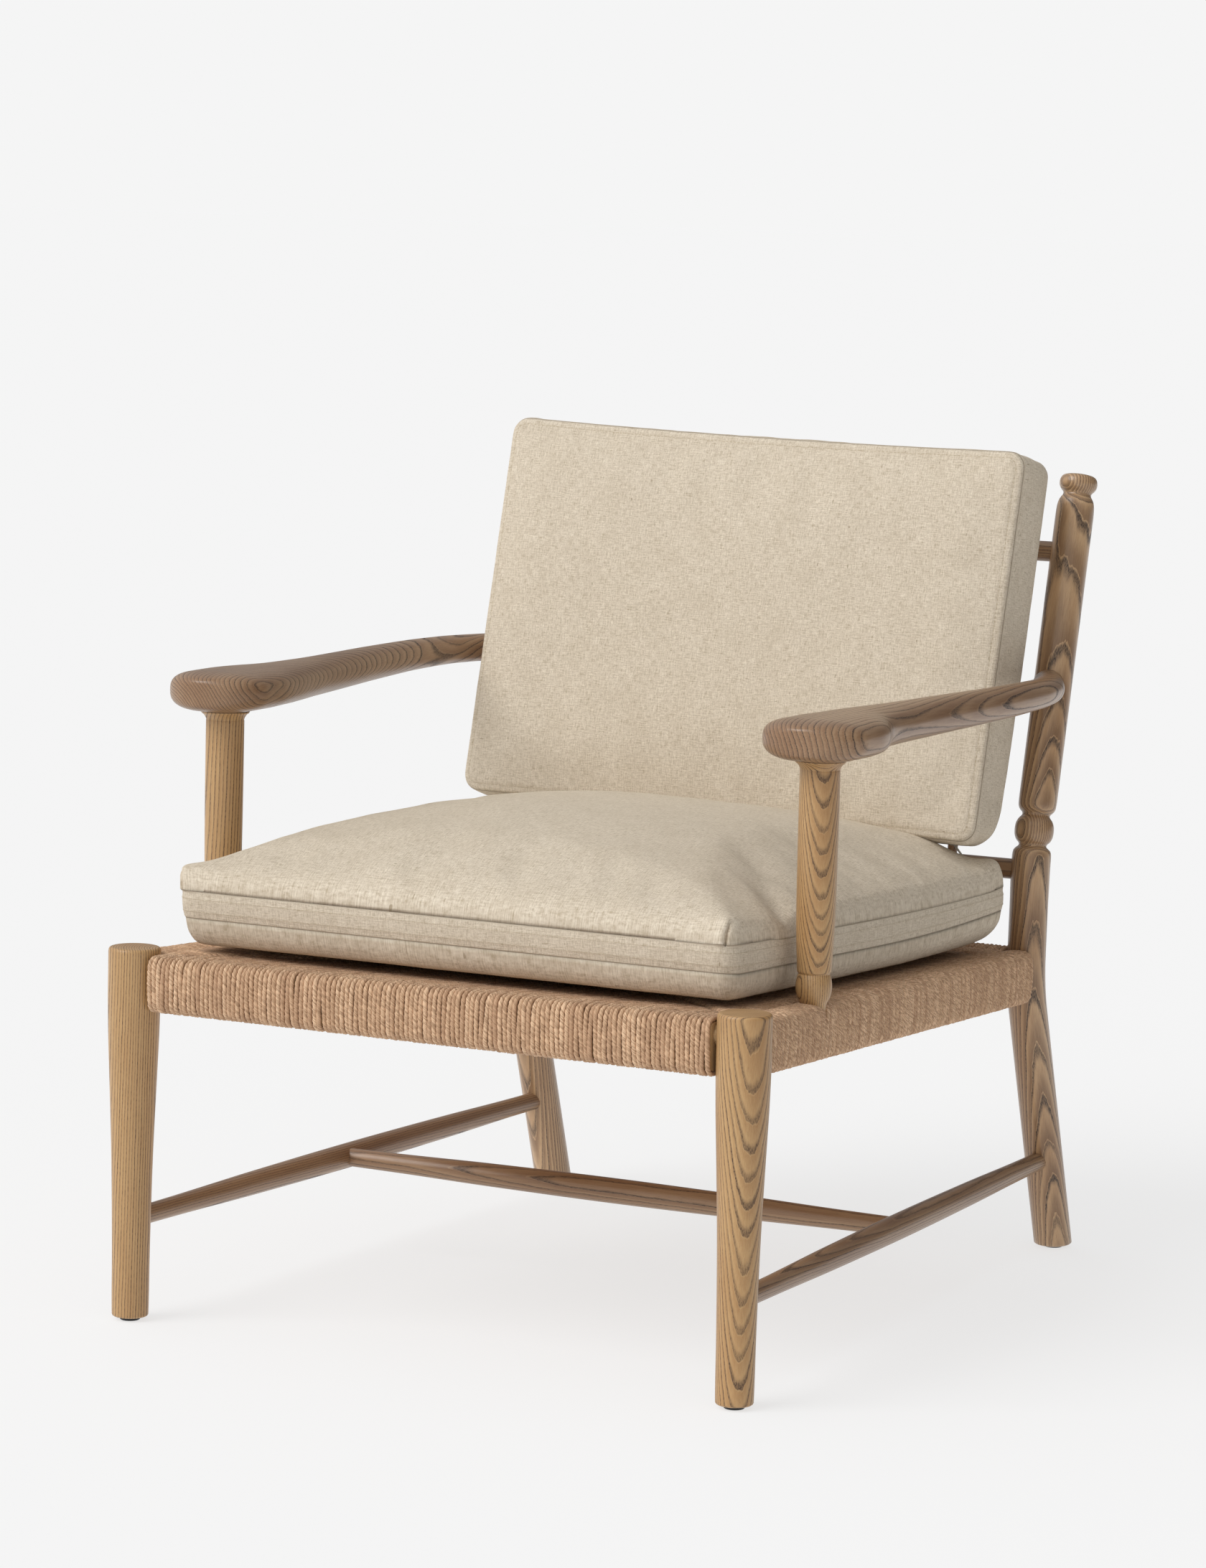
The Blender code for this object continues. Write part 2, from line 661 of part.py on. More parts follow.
# ---------------------------------------------------------------- glides
GLIDE = [(0.0, GLIDE_R - 0.0010), (0.0010, GLIDE_R), (GLIDE_T, GLIDE_R)]
feet = [(sign * LEG_X, 0.0, f"front_{side}", legs[side]) for sign, side in SIDE_NAMES]
foot_y = post_axis(0.0)[0]
feet += [(sign * POST_X, foot_y, f"rear_{side}", posts[side]) for sign, side in SIDE_NAMES]
for x, y, name, leg in feet:
    glide = add(f"glide_{name}", turned(GLIDE), BLACK, (x, y, 0))
    pin = bar((x, y, 0.002), (x, y, 0.015), GLIDE_PIN_R, 8)
    boolean(glide, cutter(f"glide_pin_{name}", pin), "UNION")
    hole = bar((x, y, -0.01), (x, y, 0.0156), GLIDE_PIN_R + BORE_PLAY, 8)
    boolean(leg, cutter(f"glide_hole_{name}", hole))


# ---------------------------------------------------------------- cushions
def cushion(
    half_w, half_d, low, band, crown_up, crown_down, inset=0.0, far=(2.6, 0.5), cells=10
):
    """A boxed cushion about its own middle: a rounded rectangle in plan, a flat
    band around it and crowned panels. low is the bottom of the band. far shapes
    the crown's fall to the +y edge."""
    bm = bmesh.new()
    corner = CUSHION_CORNER - inset
    half_w, half_d = half_w - inset, half_d - inset
    low, band = low + inset, band - 2 * inset

    def panel_point(i, j):
        fx, fy = 2 * i / cells - 1, 2 * j / cells - 1
        fx = math.sin(fx * math.pi / 2 * 0.80) / math.sin(math.pi / 2 * 0.80)
        fy = math.sin(fy * math.pi / 2 * 0.80) / math.sin(math.pi / 2 * 0.80)
        x, y = fx * half_w, fy * half_d
        # pull the square's corner onto the rounded corner
        dx, dy = abs(x) - (half_w - corner), abs(y) - (half_d - corner)
        if dx > 0 and dy > 0:
            reach = math.hypot(dx, dy)
            scale = max(dx, dy) / reach
            x = math.copysign(half_w - corner + dx * scale, x)
            y = math.copysign(half_d - corner + dy * scale, y)
        bend, power = far if fy > 0 else (2.6, 0.5)
        swell = (1 - abs(fx) ** 2.6) ** 0.5 * (1 - abs(fy) ** bend) ** power
        return x, y, swell

    top, bottom = [], []
    for j in range(cells + 1):
        row_t, row_b = [], []
        for i in range(cells + 1):
            x, y, swell = panel_point(i, j)
            row_t.append(bm.verts.new((x, y, low + band + crown_up * swell)))
            row_b.append(bm.verts.new((x, y, low - crown_down * swell)))
        top.append(row_t)
        bottom.append(row_b)
    for j in range(cells):
        for i in range(cells):
            # the diagonals run out to the nearest corner, so that a smaller cushion
            # nests inside a larger one
            k = 0 if (i < cells / 2) == (j < cells / 2) else 1
            for rows, way in ((top, 1), (bottom, -1)):
                quad = [rows[j][i], rows[j][i + 1], rows[j + 1][i + 1], rows[j + 1][i]]
                quad = quad[k:] + quad[:k]
                for three in ((quad[0], quad[1], quad[2]), (quad[0], quad[2], quad[3])):
                    bm.faces.new(three[::way])

    def edge(rows):
        loop = [rows[0][i] for i in range(cells)]
        loop += [rows[j][cells] for j in range(cells)]
        loop += [rows[cells][i] for i in range(cells, 0, -1)]
        loop += [rows[j][0] for j in range(cells, 0, -1)]
        return loop

    up, down = edge(top), edge(bottom)
    for k in range(len(up)):
        n = (k + 1) % len(up)
        bm.faces.new((down[k], down[n], up[n], up[k]))
    return bm


def cushion_pieces(name, half_w, half_d, low, band, up, down, place, turn, slot, far):
    """A hollow cover with a zip opening, and the core that fills it. slot is the
    low and high corner of the zip opening in the cushion's own frame."""
    cover = add(
        f"{name}_cover",
        cushion(half_w, half_d, low, band, up, down, far=far),
        LINEN,
        place,
        turn,
    )
    inner = cutter(
        f"{name}_hollow",
        cushion(half_w, half_d, low, band, up, down, COVER_T, far),
        place,
        turn,
    )
    boolean(cover, inner)
    bm = bmesh.new()
    size = [b - a for a, b in zip(*slot)]
    middle = [(a + b) / 2 for a, b in zip(*slot)]
    bmesh.ops.create_cube(bm, size=1.0)
    bmesh.ops.scale(bm, vec=size, verts=bm.verts)
    bmesh.ops.translate(bm, vec=middle, verts=bm.verts)
    boolean(cover, cutter(f"{name}_zip_opening", bm, place, turn))
    core = cushion(half_w, half_d, low, band, up, down, COVER_T + GAP, far)
    add(f"{name}_core", core, FOAM, place, turn)


def strip(low, high):
    bm = bmesh.new()
    bmesh.ops.create_cube(bm, size=1.0)
    bmesh.ops.scale(bm, vec=[b - a for a, b in zip(low, high)], verts=bm.verts)
    bmesh.ops.translate(bm, vec=[(a + b) / 2 for a, b in zip(low, high)], verts=bm.verts)
    return bm


# seat cushion: tilted with the seat, lying on the cord
seat_mid_y = (SEAT_FRONT_Y + SEAT_REAR_Y) / 2
seat_half_d = (SEAT_REAR_Y - SEAT_FRONT_Y) / 2
seat_turn = Matrix.Rotation(math.atan(SEAT_SLOPE), 3, "X").to_quaternion()
seat_place = Vector(
    (0, seat_mid_y, side_rail_point(seat_mid_y, 1).z + WRAP_HALF[1] + 0.0008)
)
cushion_pieces(
    "seat_cushion",
    SEAT_HALF_W,
    seat_half_d,
    0.0,
    SEAT_BAND,
    SEAT_CROWN,
    0.0,
    seat_place,
    seat_turn,
    ((-ZIP_REACH, seat_half_d - 0.010, 0.022), (ZIP_REACH, seat_half_d + 0.010, 0.028)),
    (2.2, 0.8),
)
add(
    "seat_cushion_zip",
    strip(
        (-ZIP_REACH + GAP, seat_half_d - COVER_T, 0.022 + GAP),
        (ZIP_REACH - GAP, seat_half_d, 0.028 - GAP),
    ),
    METAL,
    seat_place,
    seat_turn,
    smooth=False,
)

# back cushion: its own frame has z through its thickness, front face up
back_up = Vector((0, math.sin(RECLINE), math.cos(RECLINE)))
back_out = Vector((0, -math.cos(RECLINE), math.sin(RECLINE)))
back_place = Vector((0, *BACK_BOTTOM)) + back_up * (BACK_HEIGHT / 2)
axes = Matrix((Vector((1, 0, 0)), back_up, back_out)).transposed()
back_turn = axes.to_quaternion()
back_half_h = BACK_HEIGHT / 2
cushion_pieces(
    "back_cushion",
    BACK_HALF_W,
    back_half_h,
    BACK_BAND[0],
    BACK_BAND[1] - BACK_BAND[0],
    BACK_CROWN[1],
    BACK_CROWN[0],
    back_place,
    back_turn,
    ((-ZIP_REACH, -back_half_h - 0.010, -0.003), (ZIP_REACH, -back_half_h + 0.010, 0.003)),
    (2.6, 0.5),
)
add(
    "back_cushion_zip",
    strip(
        (-ZIP_REACH + GAP, -back_half_h, -0.003 + GAP),
        (ZIP_REACH - GAP, -back_half_h + COVER_T, 0.003 - GAP),
    ),
    METAL,
    back_place,
    back_turn,
    smooth=False,
)

# the zip's slider rides on the teeth, with a bail that its pull hangs from
slider_place = back_place + axes @ Vector((SLIDER_X, -back_half_h - GAP, 0))
slider = add(
    "zip_slider",
    strip((-0.0045, -0.0022, -0.0032), (0.0045, 0.0, 0.0032)),
    METAL,
    slider_place,
    back_turn,
    smooth=False,
)
bail = strip((-0.0036, -0.0048, -0.0008), (0.0036, -0.0016, 0.0008))
boolean(slider, cutter("slider_bail", bail, slider_place, back_turn), "UNION")
eye = strip((-0.0026, -0.0040, -0.0020), (0.0026, -0.0022, 0.0020))
boolean(slider, cutter("slider_eye", eye, slider_place, back_turn))

# the pull is a flat tag whose top bar runs through the bail; its origin is on
# its hinge, which lies across the zip, and it has swung to one side
pull_place = back_place + axes @ Vector((SLIDER_X, -back_half_h - GAP - 0.0031, 0))
pull_turn = back_turn @ Matrix.Rotation(PULL_SWING, 3, "Z").to_quaternion()
pull = add(
    "zip_pull",
    strip((-0.00045, -0.0230, -0.0026), (0.00045, 0.00045, 0.0026)),
    METAL,
    pull_place,
    pull_turn,
    smooth=False,
)
window = strip((-0.002, -0.0062, -0.0013), (0.002, -0.00045, 0.0013))
boolean(pull, cutter("pull_window", window, pull_place, pull_turn))
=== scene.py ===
"""Looks for the lounge armchair: turned ash frame, paper cord seat, linen
cushions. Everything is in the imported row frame, in metres."""
import math

import bpy
import numpy as np
from mathutils import Matrix, Vector


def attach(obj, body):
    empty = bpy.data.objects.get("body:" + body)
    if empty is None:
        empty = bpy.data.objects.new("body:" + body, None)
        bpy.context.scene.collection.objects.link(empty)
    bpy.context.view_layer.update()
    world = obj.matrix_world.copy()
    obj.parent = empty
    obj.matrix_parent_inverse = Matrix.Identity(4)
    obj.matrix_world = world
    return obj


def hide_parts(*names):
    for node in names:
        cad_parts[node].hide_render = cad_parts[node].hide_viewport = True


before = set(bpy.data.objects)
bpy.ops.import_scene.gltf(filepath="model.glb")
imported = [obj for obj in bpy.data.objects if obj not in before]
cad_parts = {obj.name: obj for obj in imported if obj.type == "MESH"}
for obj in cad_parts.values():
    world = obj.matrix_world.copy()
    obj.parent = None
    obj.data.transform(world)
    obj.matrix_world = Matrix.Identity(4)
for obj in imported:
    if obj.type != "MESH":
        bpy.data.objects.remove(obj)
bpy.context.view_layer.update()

rng = np.random.default_rng(7)

# ------------------------------------------------------------------ constants
# y = 0 is on the front legs' axis in all tables; OY takes it to the row frame
OY = 0.402115
LEG_X, LEG_TOP = 0.3213, 0.360
POST_X, POST_R = 0.2939, 0.0195
POST_FOOT, POST_BEND_LOW = (0.8106, 0.0), (0.7105, 0.2885)
POST_BEND_HIGH, POST_TIP = (0.7143, 0.4219), (0.8081, 0.8020)
GLIDE_T = 0.0036
RAIL_Z_FRONT, RAIL_Z_REAR = 0.3280, 0.2985
WRAP_HALF = (0.0182, 0.0270)
SIDE_RAIL_X = (0.3197, 0.2925)
FRONT_RAIL_Y, REAR_RAIL_Y = -0.0018, 0.7112
SUPPORT = (0.3177, 0.1508)
ARM_UNDER = 0.5725
STRETCHER_Z, CROSS_Y = 0.098, 0.378
ROD_R, ROD_LOW_Z, ROD_TOP_Z = 0.0103, 0.4052, 0.7237
SIDES = ((1, "left"), (-1, "right"))


# ------------------------------------------------------------------ mesh tools
def pchip(table, x):
    """Smooth interpolation that keeps a table's own highs and lows."""
    xs = np.array([a for a, _ in table], float)
    ys = np.array([b for _, b in table], float)
    x = np.clip(np.asarray(x, float), xs[0], xs[-1])
    h = np.diff(xs)
    d = np.diff(ys) / h
    m = np.zeros(len(xs))
    for i in range(1, len(xs) - 1):
        if d[i - 1] * d[i] > 0:
            a, b = 2 * h[i] + h[i - 1], h[i] + 2 * h[i - 1]
            m[i] = (a + b) / (a / d[i - 1] + b / d[i])
    m[0], m[-1] = d[0], d[-1]
    k = np.clip(np.searchsorted(xs, x, side="right") - 1, 0, len(xs) - 2)
    t = (x - xs[k]) / h[k]
    return (
        (2 * t**3 - 3 * t**2 + 1) * ys[k]
        + (t**3 - 2 * t**2 + t) * h[k] * m[k]
        + (3 * t**2 - 2 * t**3) * ys[k + 1]
        + (t**3 - t**2) * h[k] * m[k + 1]
    )


def stations(table, coarse=0.006, fine=4):
    """Places along a profile: close together where the profile turns."""
    out = [table[0][0]]
    for (a, _), (b, _) in zip(table, table[1:]):
        n = max(fine if b - a < 0.008 else 2, math.ceil((b - a) / coarse))
        out += list(np.linspace(a, b, n + 1)[1:])
    return np.array(out)


def make(name, verts, faces, body, attributes=None, mats=(), smooth=True, sharp=40.0):
    """A mesh object in the row frame. faces is a list of arrays of equal rows."""
    verts = np.array(verts, float).reshape(-1, 3)
    verts[:, 1] -= OY
    mesh = bpy.data.meshes.new(name)
    mesh.vertices.add(len(verts))
    mesh.vertices.foreach_set("co", verts.ravel())
    faces = [np.asarray(f, np.int64) for f in faces if len(f)]
    corners = np.concatenate([f.ravel() for f in faces])
    counts = np.concatenate([np.full(len(f), f.shape[1]) for f in faces])
    mesh.loops.add(len(corners))
    mesh.loops.foreach_set("vertex_index", corners.astype(np.int32))
    mesh.polygons.add(len(counts))
    starts = np.concatenate([[0], np.cumsum(counts)[:-1]]).astype(np.int32)
    mesh.polygons.foreach_set("loop_start", starts)
    mesh.update(calc_edges=True)
    mesh.validate()
    for key, values in (attributes or {}).items():
        values = np.asarray(values, float)
        kind = "FLOAT_VECTOR" if values.ndim > 1 and values.shape[-1] == 3 else "FLOAT"
        layer = mesh.attributes.new(key, kind, "POINT")
        layer.data.foreach_set("vector" if kind == "FLOAT_VECTOR" else "value", values.ravel())
    for mat in mats:
        mesh.materials.append(mat)
    if smooth:
        mesh.shade_smooth()
        if sharp:
            mesh.set_sharp_from_angle(angle=math.radians(sharp))
    obj = bpy.data.objects.new(name, mesh)
    bpy.context.scene.collection.objects.link(obj)
    if body:
        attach(obj, body)
    return obj


def skin(count, sides, closed=True, base=0, flip=False):
    """Quads over count rings of sides points."""
    i = np.arange(count - 1)[:, None] * sides
    j = np.arange(sides if closed else sides - 1)[None, :]
    k = (j + 1) % sides
    quads = np.stack([i + j, i + k, i + sides + k, i + sides + j], -1).reshape(-1, 4) + base
    return quads[:, ::-1] if flip else quads


def loft(name, rings, grain, body, mats, sharp=40.0, replaces=None):
    """Closed skin over rings, with a fan of triangles at each end."""
    rings, grain = np.asarray(rings, float), np.asarray(grain, float)
    count, sides = rings.shape[:2]
    verts = rings.reshape(-1, 3)
    g = grain.reshape(-1, 3)
    ends = np.stack([rings[0].mean(0), rings[-1].mean(0)])
    gends = np.stack([grain[0].mean(0), grain[-1].mean(0)])
    n = len(verts)
    j = np.arange(sides)
    k = (j + 1) % sides
    low = np.stack([np.full(sides, n), k, j], -1)
    top = np.stack([np.full(sides, n + 1), n - sides + j, n - sides + k], -1)
    obj = make(
        name,
        np.concatenate([verts, ends]),
        [skin(count, sides), low, top],
        body,
        {"grain": np.concatenate([g, gends])},
        mats,
        sharp=sharp,
    )
    if replaces:
        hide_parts(*([replaces] if isinstance(replaces, str) else replaces))
    return obj


def growth(across_a, across_b, along, face, depth, lean, width, shift=0.0):
    """Grain coordinates of points: across the growth rings, across again, and
    along the fibres. face is the angle of the side that the rings lie flat
    against, depth how far off the heart is, lean how fast the rings climb
    through the piece, width one ring."""
    c, s = math.cos(face), math.sin(face)
    out = across_a * c + across_b * s + depth + lean * along
    side = -across_a * s + across_b * c
    k = 0.003 / width
    return np.stack([out * k, side * k, along + shift], -1)


def lathe(name, table, place, body, mats, grain, sides=72, replaces=None, foot=None):
    """A turned upright piece on an axis at place."""
    z = stations(table)
    r = np.maximum(pchip(table, z), 1e-4)
    t = np.linspace(0, 2 * math.pi, sides, endpoint=False)
    x = r[:, None] * np.cos(t)
    y = r[:, None] * np.sin(t)
    zz = np.repeat(z[:, None], sides, 1)
    rings = np.stack([place[0] + x, place[1] + y, zz], -1)
    g = growth(x, y, zz, *grain)
    if foot:
        # below this height the grain is seen from another side
        g[z < foot[0]] = growth(x, y, zz, *foot[1])[z < foot[0]]
    return loft(name, rings, g, body, mats, replaces=replaces)


def lathe_between(name, a, b, table, body, mats, grain, sides=48, flat=1.0, replaces=None, ends=0.0):
    """A turned piece between two points; the table is (fraction, radius)."""
    a, b = np.array(a, float), np.array(b, float)
    length = np.linalg.norm(b - a)
    along = (b - a) / length
    if abs(along[2]) < 0.9:
        side = np.cross(along, (0, 0, 1.0))
    else:
        side = np.array((1.0, 0, 0))
    side /= np.linalg.norm(side)
    up = np.cross(side, along)
    f = np.linspace(0, 1, max(12, int(length / 0.008)))
    if ends:
        edge = np.array([0.0, 0.25, 0.6, 1.0]) * ends / length
        f = np.unique(np.concatenate([f[(f > edge[-1]) & (f < 1 - edge[-1])], edge, 1 - edge]))
    r = pchip(table, f)
    if ends:
        lack = np.minimum(f, 1 - f) * length
        k = np.clip(1 - lack / ends, 0, 1)
        r = r - ends * (1 - np.sqrt(np.maximum(0, 1 - k**2)))
    t = np.linspace(0, 2 * math.pi, sides, endpoint=False)
    ca, sa = r[:, None] * np.cos(t) / flat, r[:, None] * np.sin(t)
    centre = a + f[:, None] * (b - a)
    rings = centre[:, None, :] + ca[..., None] * side + sa[..., None] * up
    s = np.repeat((f * length)[:, None], sides, 1)
    return loft(name, rings, growth(ca, sa, s, *grain), body, mats, replaces=replaces)


# ------------------------------------------------------------------ node tools
class Nodes:
    """Short hand for building a material's node tree."""

    def __init__(self, name):
        self.mat = bpy.data.materials.new(name)
        self.mat.use_nodes = True
        self.tree = self.mat.node_tree
        self.shader = self.tree.nodes["Principled BSDF"]

    def add(self, kind, **props):
        node = self.tree.nodes.new(kind)
        for key, value in props.items():
            setattr(node, key, value)
        return node

    def link(self, a, b):
        self.tree.links.new(a, b)

    def attr(self, name, output="Vector"):
        node = self.add("ShaderNodeAttribute")
        node.attribute_name = name
        return node.outputs[output]

    def maths(self, op, a, b=None, c=None, clamp=False):
        node = self.add("ShaderNodeMath", operation=op, use_clamp=clamp)
        for socket, value in zip(node.inputs, (a, b, c)):
            if value is None:
                continue
            if isinstance(value, (int, float)):
                socket.default_value = value
            else:
                self.link(value, socket)
        return node.outputs[0]

    def scaled(self, vector, scale, offset=(0, 0, 0)):
        node = self.add("ShaderNodeVectorMath", operation="MULTIPLY_ADD")
        self.link(vector, node.inputs[0])
        node.inputs[1].default_value = scale
        node.inputs[2].default_value = offset
        return node.outputs[0]

    def noise(self, vector, scale=1.0, detail=2.0, rough=0.5, distortion=0.0):
        node = self.add("ShaderNodeTexNoise")
        self.link(vector, node.inputs["Vector"])
        node.inputs["Scale"].default_value = scale
        node.inputs["Detail"].default_value = detail
        node.inputs["Roughness"].default_value = rough
        node.inputs["Distortion"].default_value = distortion
        return node.outputs[0]

    def remap(self, value, a, b, c=0.0, d=1.0, smooth=True):
        node = self.add("ShaderNodeMapRange")
        node.interpolation_type = "SMOOTHSTEP" if smooth else "LINEAR"
        self.link(value, node.inputs["Value"])
        for key, number in (("From Min", a), ("From Max", b), ("To Min", c), ("To Max", d)):
            node.inputs[key].default_value = number
        return node.outputs["Result"]

    def mix(self, factor, a, b, blend="MIX"):
        node = self.add("ShaderNodeMix", data_type="RGBA", blend_type=blend)
        node.clamp_factor = True
        for key, value in ((0, factor), (6, a), (7, b)):
            socket = node.inputs[key]
            if isinstance(value, (int, float)):
                socket.default_value = value
            elif isinstance(value, tuple):
                socket.default_value = (*value, 1.0)[:4]
            else:
                self.link(value, socket)
        return node.outputs[2]

    def ramp(self, value, stops):
        node = self.add("ShaderNodeValToRGB")
        self.link(value, node.inputs[0])
        band = node.color_ramp
        while len(band.elements) > 1:
            band.elements.remove(band.elements[-1])
        band.elements[0].position = stops[0][0]
        band.elements[0].color = (*stops[0][1], 1)
        for at, colour in stops[1:]:
            band.elements.new(at).color = (*colour, 1)
        return node.outputs[0]

    def bump(self, height, strength, distance, normal=None):
        node = self.add("ShaderNodeBump")
        node.inputs["Strength"].default_value = strength
        node.inputs["Distance"].default_value = distance
        self.link(height, node.inputs["Height"])
        if normal is not None:
            self.link(normal, node.inputs["Normal"])
        return node.outputs[0]

    def set(self, **values):
        for key, value in values.items():
            socket = self.shader.inputs[key.replace("_", " ")]
            if isinstance(value, (int, float)):
                socket.default_value = value
            elif isinstance(value, tuple):
                socket.default_value = (*value, 1.0)[: len(socket.default_value)]
            else:
                self.link(value, socket)


def srgb(r, g, b):
    out = []
    for c in (r, g, b):
        c /= 255
        out.append(c / 12.92 if c <= 0.04045 else ((c + 0.055) / 1.055) ** 2.4)
    return tuple(out)


# ------------------------------------------------------------------ ash
def ash(name, early, late, pore, tint, rough, lines=1.0, gloss=0.25, wide=0.50, wander=3.4, own=False):
    """Ring-porous wood. The rings are cylinders around the heart; each starts
    with a band of open pores that shows as a dark line, or as a speckled patch
    where the saw ran along it."""
    n = Nodes(name)
    g = n.add("ShaderNodeTexCoord").outputs["Object"] if own else n.attr("grain")
    warp = n.noise(n.scaled(g, (14, 14, 2.6)), 1.0, 1.5)
    ripple = n.noise(n.scaled(g, (70, 70, 14)), 1.0, 2.0)
    fine = n.noise(n.scaled(g, (300, 300, 60)), 1.0, 2.0)
    split = n.add("ShaderNodeSeparateXYZ")
    n.link(g, split.inputs[0])
    x, y, z = split.outputs
    reach = n.maths("SQRT", n.maths("ADD", n.maths("MULTIPLY", x, x), n.maths("MULTIPLY", y, y)))
    phase = n.maths("MULTIPLY", reach, 1 / 0.003)
    phase = n.maths("ADD", phase, n.maths("MULTIPLY", n.maths("SUBTRACT", warp, 0.5), wander))
    phase = n.maths("ADD", phase, n.maths("MULTIPLY", n.maths("SUBTRACT", ripple, 0.5), 0.55))
    phase = n.maths("ADD", phase, n.maths("MULTIPLY", n.maths("SUBTRACT", fine, 0.5), 0.22))
    ring = n.maths("FLOOR", phase)
    part = n.maths("FRACT", phase)
    dice = n.add("ShaderNodeTexWhiteNoise", noise_dimensions="1D")
    n.link(ring, dice.inputs["W"])
    luck = dice.outputs["Value"]

    band = n.maths("MULTIPLY", n.remap(part, 0.0, 0.08), n.remap(part, wide * 0.35, wide, 1.0, 0.0))
    pores = n.noise(n.scaled(g, (2100, 2100, 330)), 1.0, 1.0, 0.6)
    open_pores = n.remap(pores, 0.46, 0.60)
    sparse = n.remap(n.noise(n.scaled(g, (1500, 1500, 120), (3, 5, 7)), 1.0, 1.0), 0.60, 0.72)
    strength = n.remap(luck, 0.0, 1.0, 0.66, 1.05, smooth=False)
    lineness = n.maths("ADD", n.maths("MULTIPLY", open_pores, 0.45), 0.66)
    dark = n.maths("MULTIPLY", n.maths("MULTIPLY", band, strength), lineness)
    dark = n.maths("MULTIPLY", dark, lines)
    dark = n.maths("MAXIMUM", dark, n.maths("MULTIPLY", sparse, 0.16), clamp=True)

    wood = n.mix(n.remap(part, 0.30, 1.0), early, late)
    fibre = n.noise(n.scaled(g, (1100, 1100, 14)), 1.0, 3.0, 0.6)
    wood = n.mix(n.remap(fibre, 0.30, 0.70, 0.0, 0.34), wood, tint, "MULTIPLY")
    cloud = n.noise(n.scaled(g, (22, 22, 5), (9, 1, 4)), 1.0, 2.0)
    wood = n.mix(n.remap(cloud, 0.35, 0.70, 0.0, 0.42), wood, tint, "MULTIPLY")
    colour = n.mix(dark, wood, pore)

    height = n.maths("SUBTRACT", n.maths("MULTIPLY", fibre, 0.25), dark)
    n.set(
        Base_Color=colour,
        Roughness=n.remap(dark, 0.0, 1.0, rough, rough + 0.22, smooth=False),
        Normal=n.bump(height, 0.35, 0.00022),
        Coat_Weight=gloss,
        Coat_Roughness=0.32,
        Specular_IOR_Level=0.42,
    )
    return n.mat


LIGHT = ash(
    "ash light",
    srgb(198, 162, 114),
    srgb(183, 145, 98),
    srgb(82, 57, 37),
    srgb(214, 190, 158),
    0.40,
    0.95,
)
DARK = ash(
    "ash dark",
    srgb(166, 135, 104),
    srgb(146, 114, 85),
    srgb(50, 33, 24),
    srgb(190, 164, 138),
    0.34,
    1.0,
    0.28,
    0.36,
)
POST = ash(
    "ash post",
    srgb(198, 165, 127),
    srgb(148, 118, 88),
    srgb(52, 35, 24),
    srgb(194, 166, 136),
    0.30,
    1.0,
    0.45,
    0.36,
    4.6,
)
RAW = ash(
    "ash raw",
    srgb(206, 176, 132),
    srgb(190, 158, 114),
    srgb(128, 98, 68),
    srgb(214, 190, 158),
    0.6,
    0.7,
    0.0,
    own=True,
)


# ------------------------------------------------------------------ frame
def post_axis(z):
    (yf, zf), (y1, z1), (y2, z2), (y3, z3) = POST_FOOT, POST_BEND_LOW, POST_BEND_HIGH, POST_TIP
    low, mid, high = (y1 - yf) / (z1 - zf), (y2 - y1) / (z2 - z1), (y3 - y2) / (z3 - z2)
    ease = 0.030

    def step(bend):
        t = (z - bend + ease) / (2 * ease)
        if t <= 0:
            return 0.0, 0.0
        if t >= 1:
            return z - bend, 1.0
        return ease * t * t, t

    s1, r1 = step(z1)
    s2, r2 = step(z2)
    y = yf + low * (z - zf) + (mid - low) * s1 + (high - mid) * s2
    return y, low + (mid - low) * r1 + (high - mid) * r2


def side_rail_point(y, sign):
    f = y / REAR_RAIL_Y
    return np.array(
        (
            sign * (SIDE_RAIL_X[0] + (SIDE_RAIL_X[1] - SIDE_RAIL_X[0]) * f),
            y,
            RAIL_Z_FRONT + (RAIL_Z_REAR - RAIL_Z_FRONT) * f,
        )
    )


POST_PROFILE = [(0.0039, 0.0178), (0.0056, POST_R), (0.03, POST_R), (0.13, POST_R)]
POST_PROFILE += [(0.23, POST_R), (0.33, POST_R), (0.370, POST_R), (0.393, 0.01975)]
POST_PROFILE += [(0.408, 0.01975), (0.4180, 0.01985), (0.4232, 0.0194), (0.4262, 0.0180)]
POST_PROFILE += [(0.4282, 0.0158), (0.4296, 0.0143), (0.4308, 0.0140), (0.4318, 0.0143)]
POST_PROFILE += [(0.4328, 0.0150), (0.4346, 0.0168), (0.4375, 0.0185), (0.4412, 0.0196)]
POST_PROFILE += [(0.4455, 0.0199), (0.4498, 0.0196), (0.4535, 0.0185), (0.4565, 0.0168)]
POST_PROFILE += [(0.4585, 0.0150), (0.4597, 0.0142), (0.4610, 0.0140), (0.4624, 0.0146)]
POST_PROFILE += [(0.4640, 0.0162), (0.4665, 0.0181), (0.4700, 0.0191), (0.4760, 0.0194)]
POST_PROFILE += [(0.550, 0.0194), (0.650, 0.0194), (0.7600, 0.0194), (0.7690, 0.0190)]
POST_PROFILE += [(0.7745, 0.0179), (0.7785, 0.0160), (0.7806, 0.0145), (0.7822, 0.0141)]
POST_PROFILE += [(0.7838, 0.0145), (0.7856, 0.0160), (0.7880, 0.0180), (0.7905, 0.0190)]
POST_PROFILE += [(0.7930, 0.0193), (0.7957, 0.0190), (0.7985, 0.0178), (0.8003, 0.0160)]
POST_PROFILE += [(0.8013, 0.0130), (0.8018, 0.0090), (0.8020, 0.0040)]

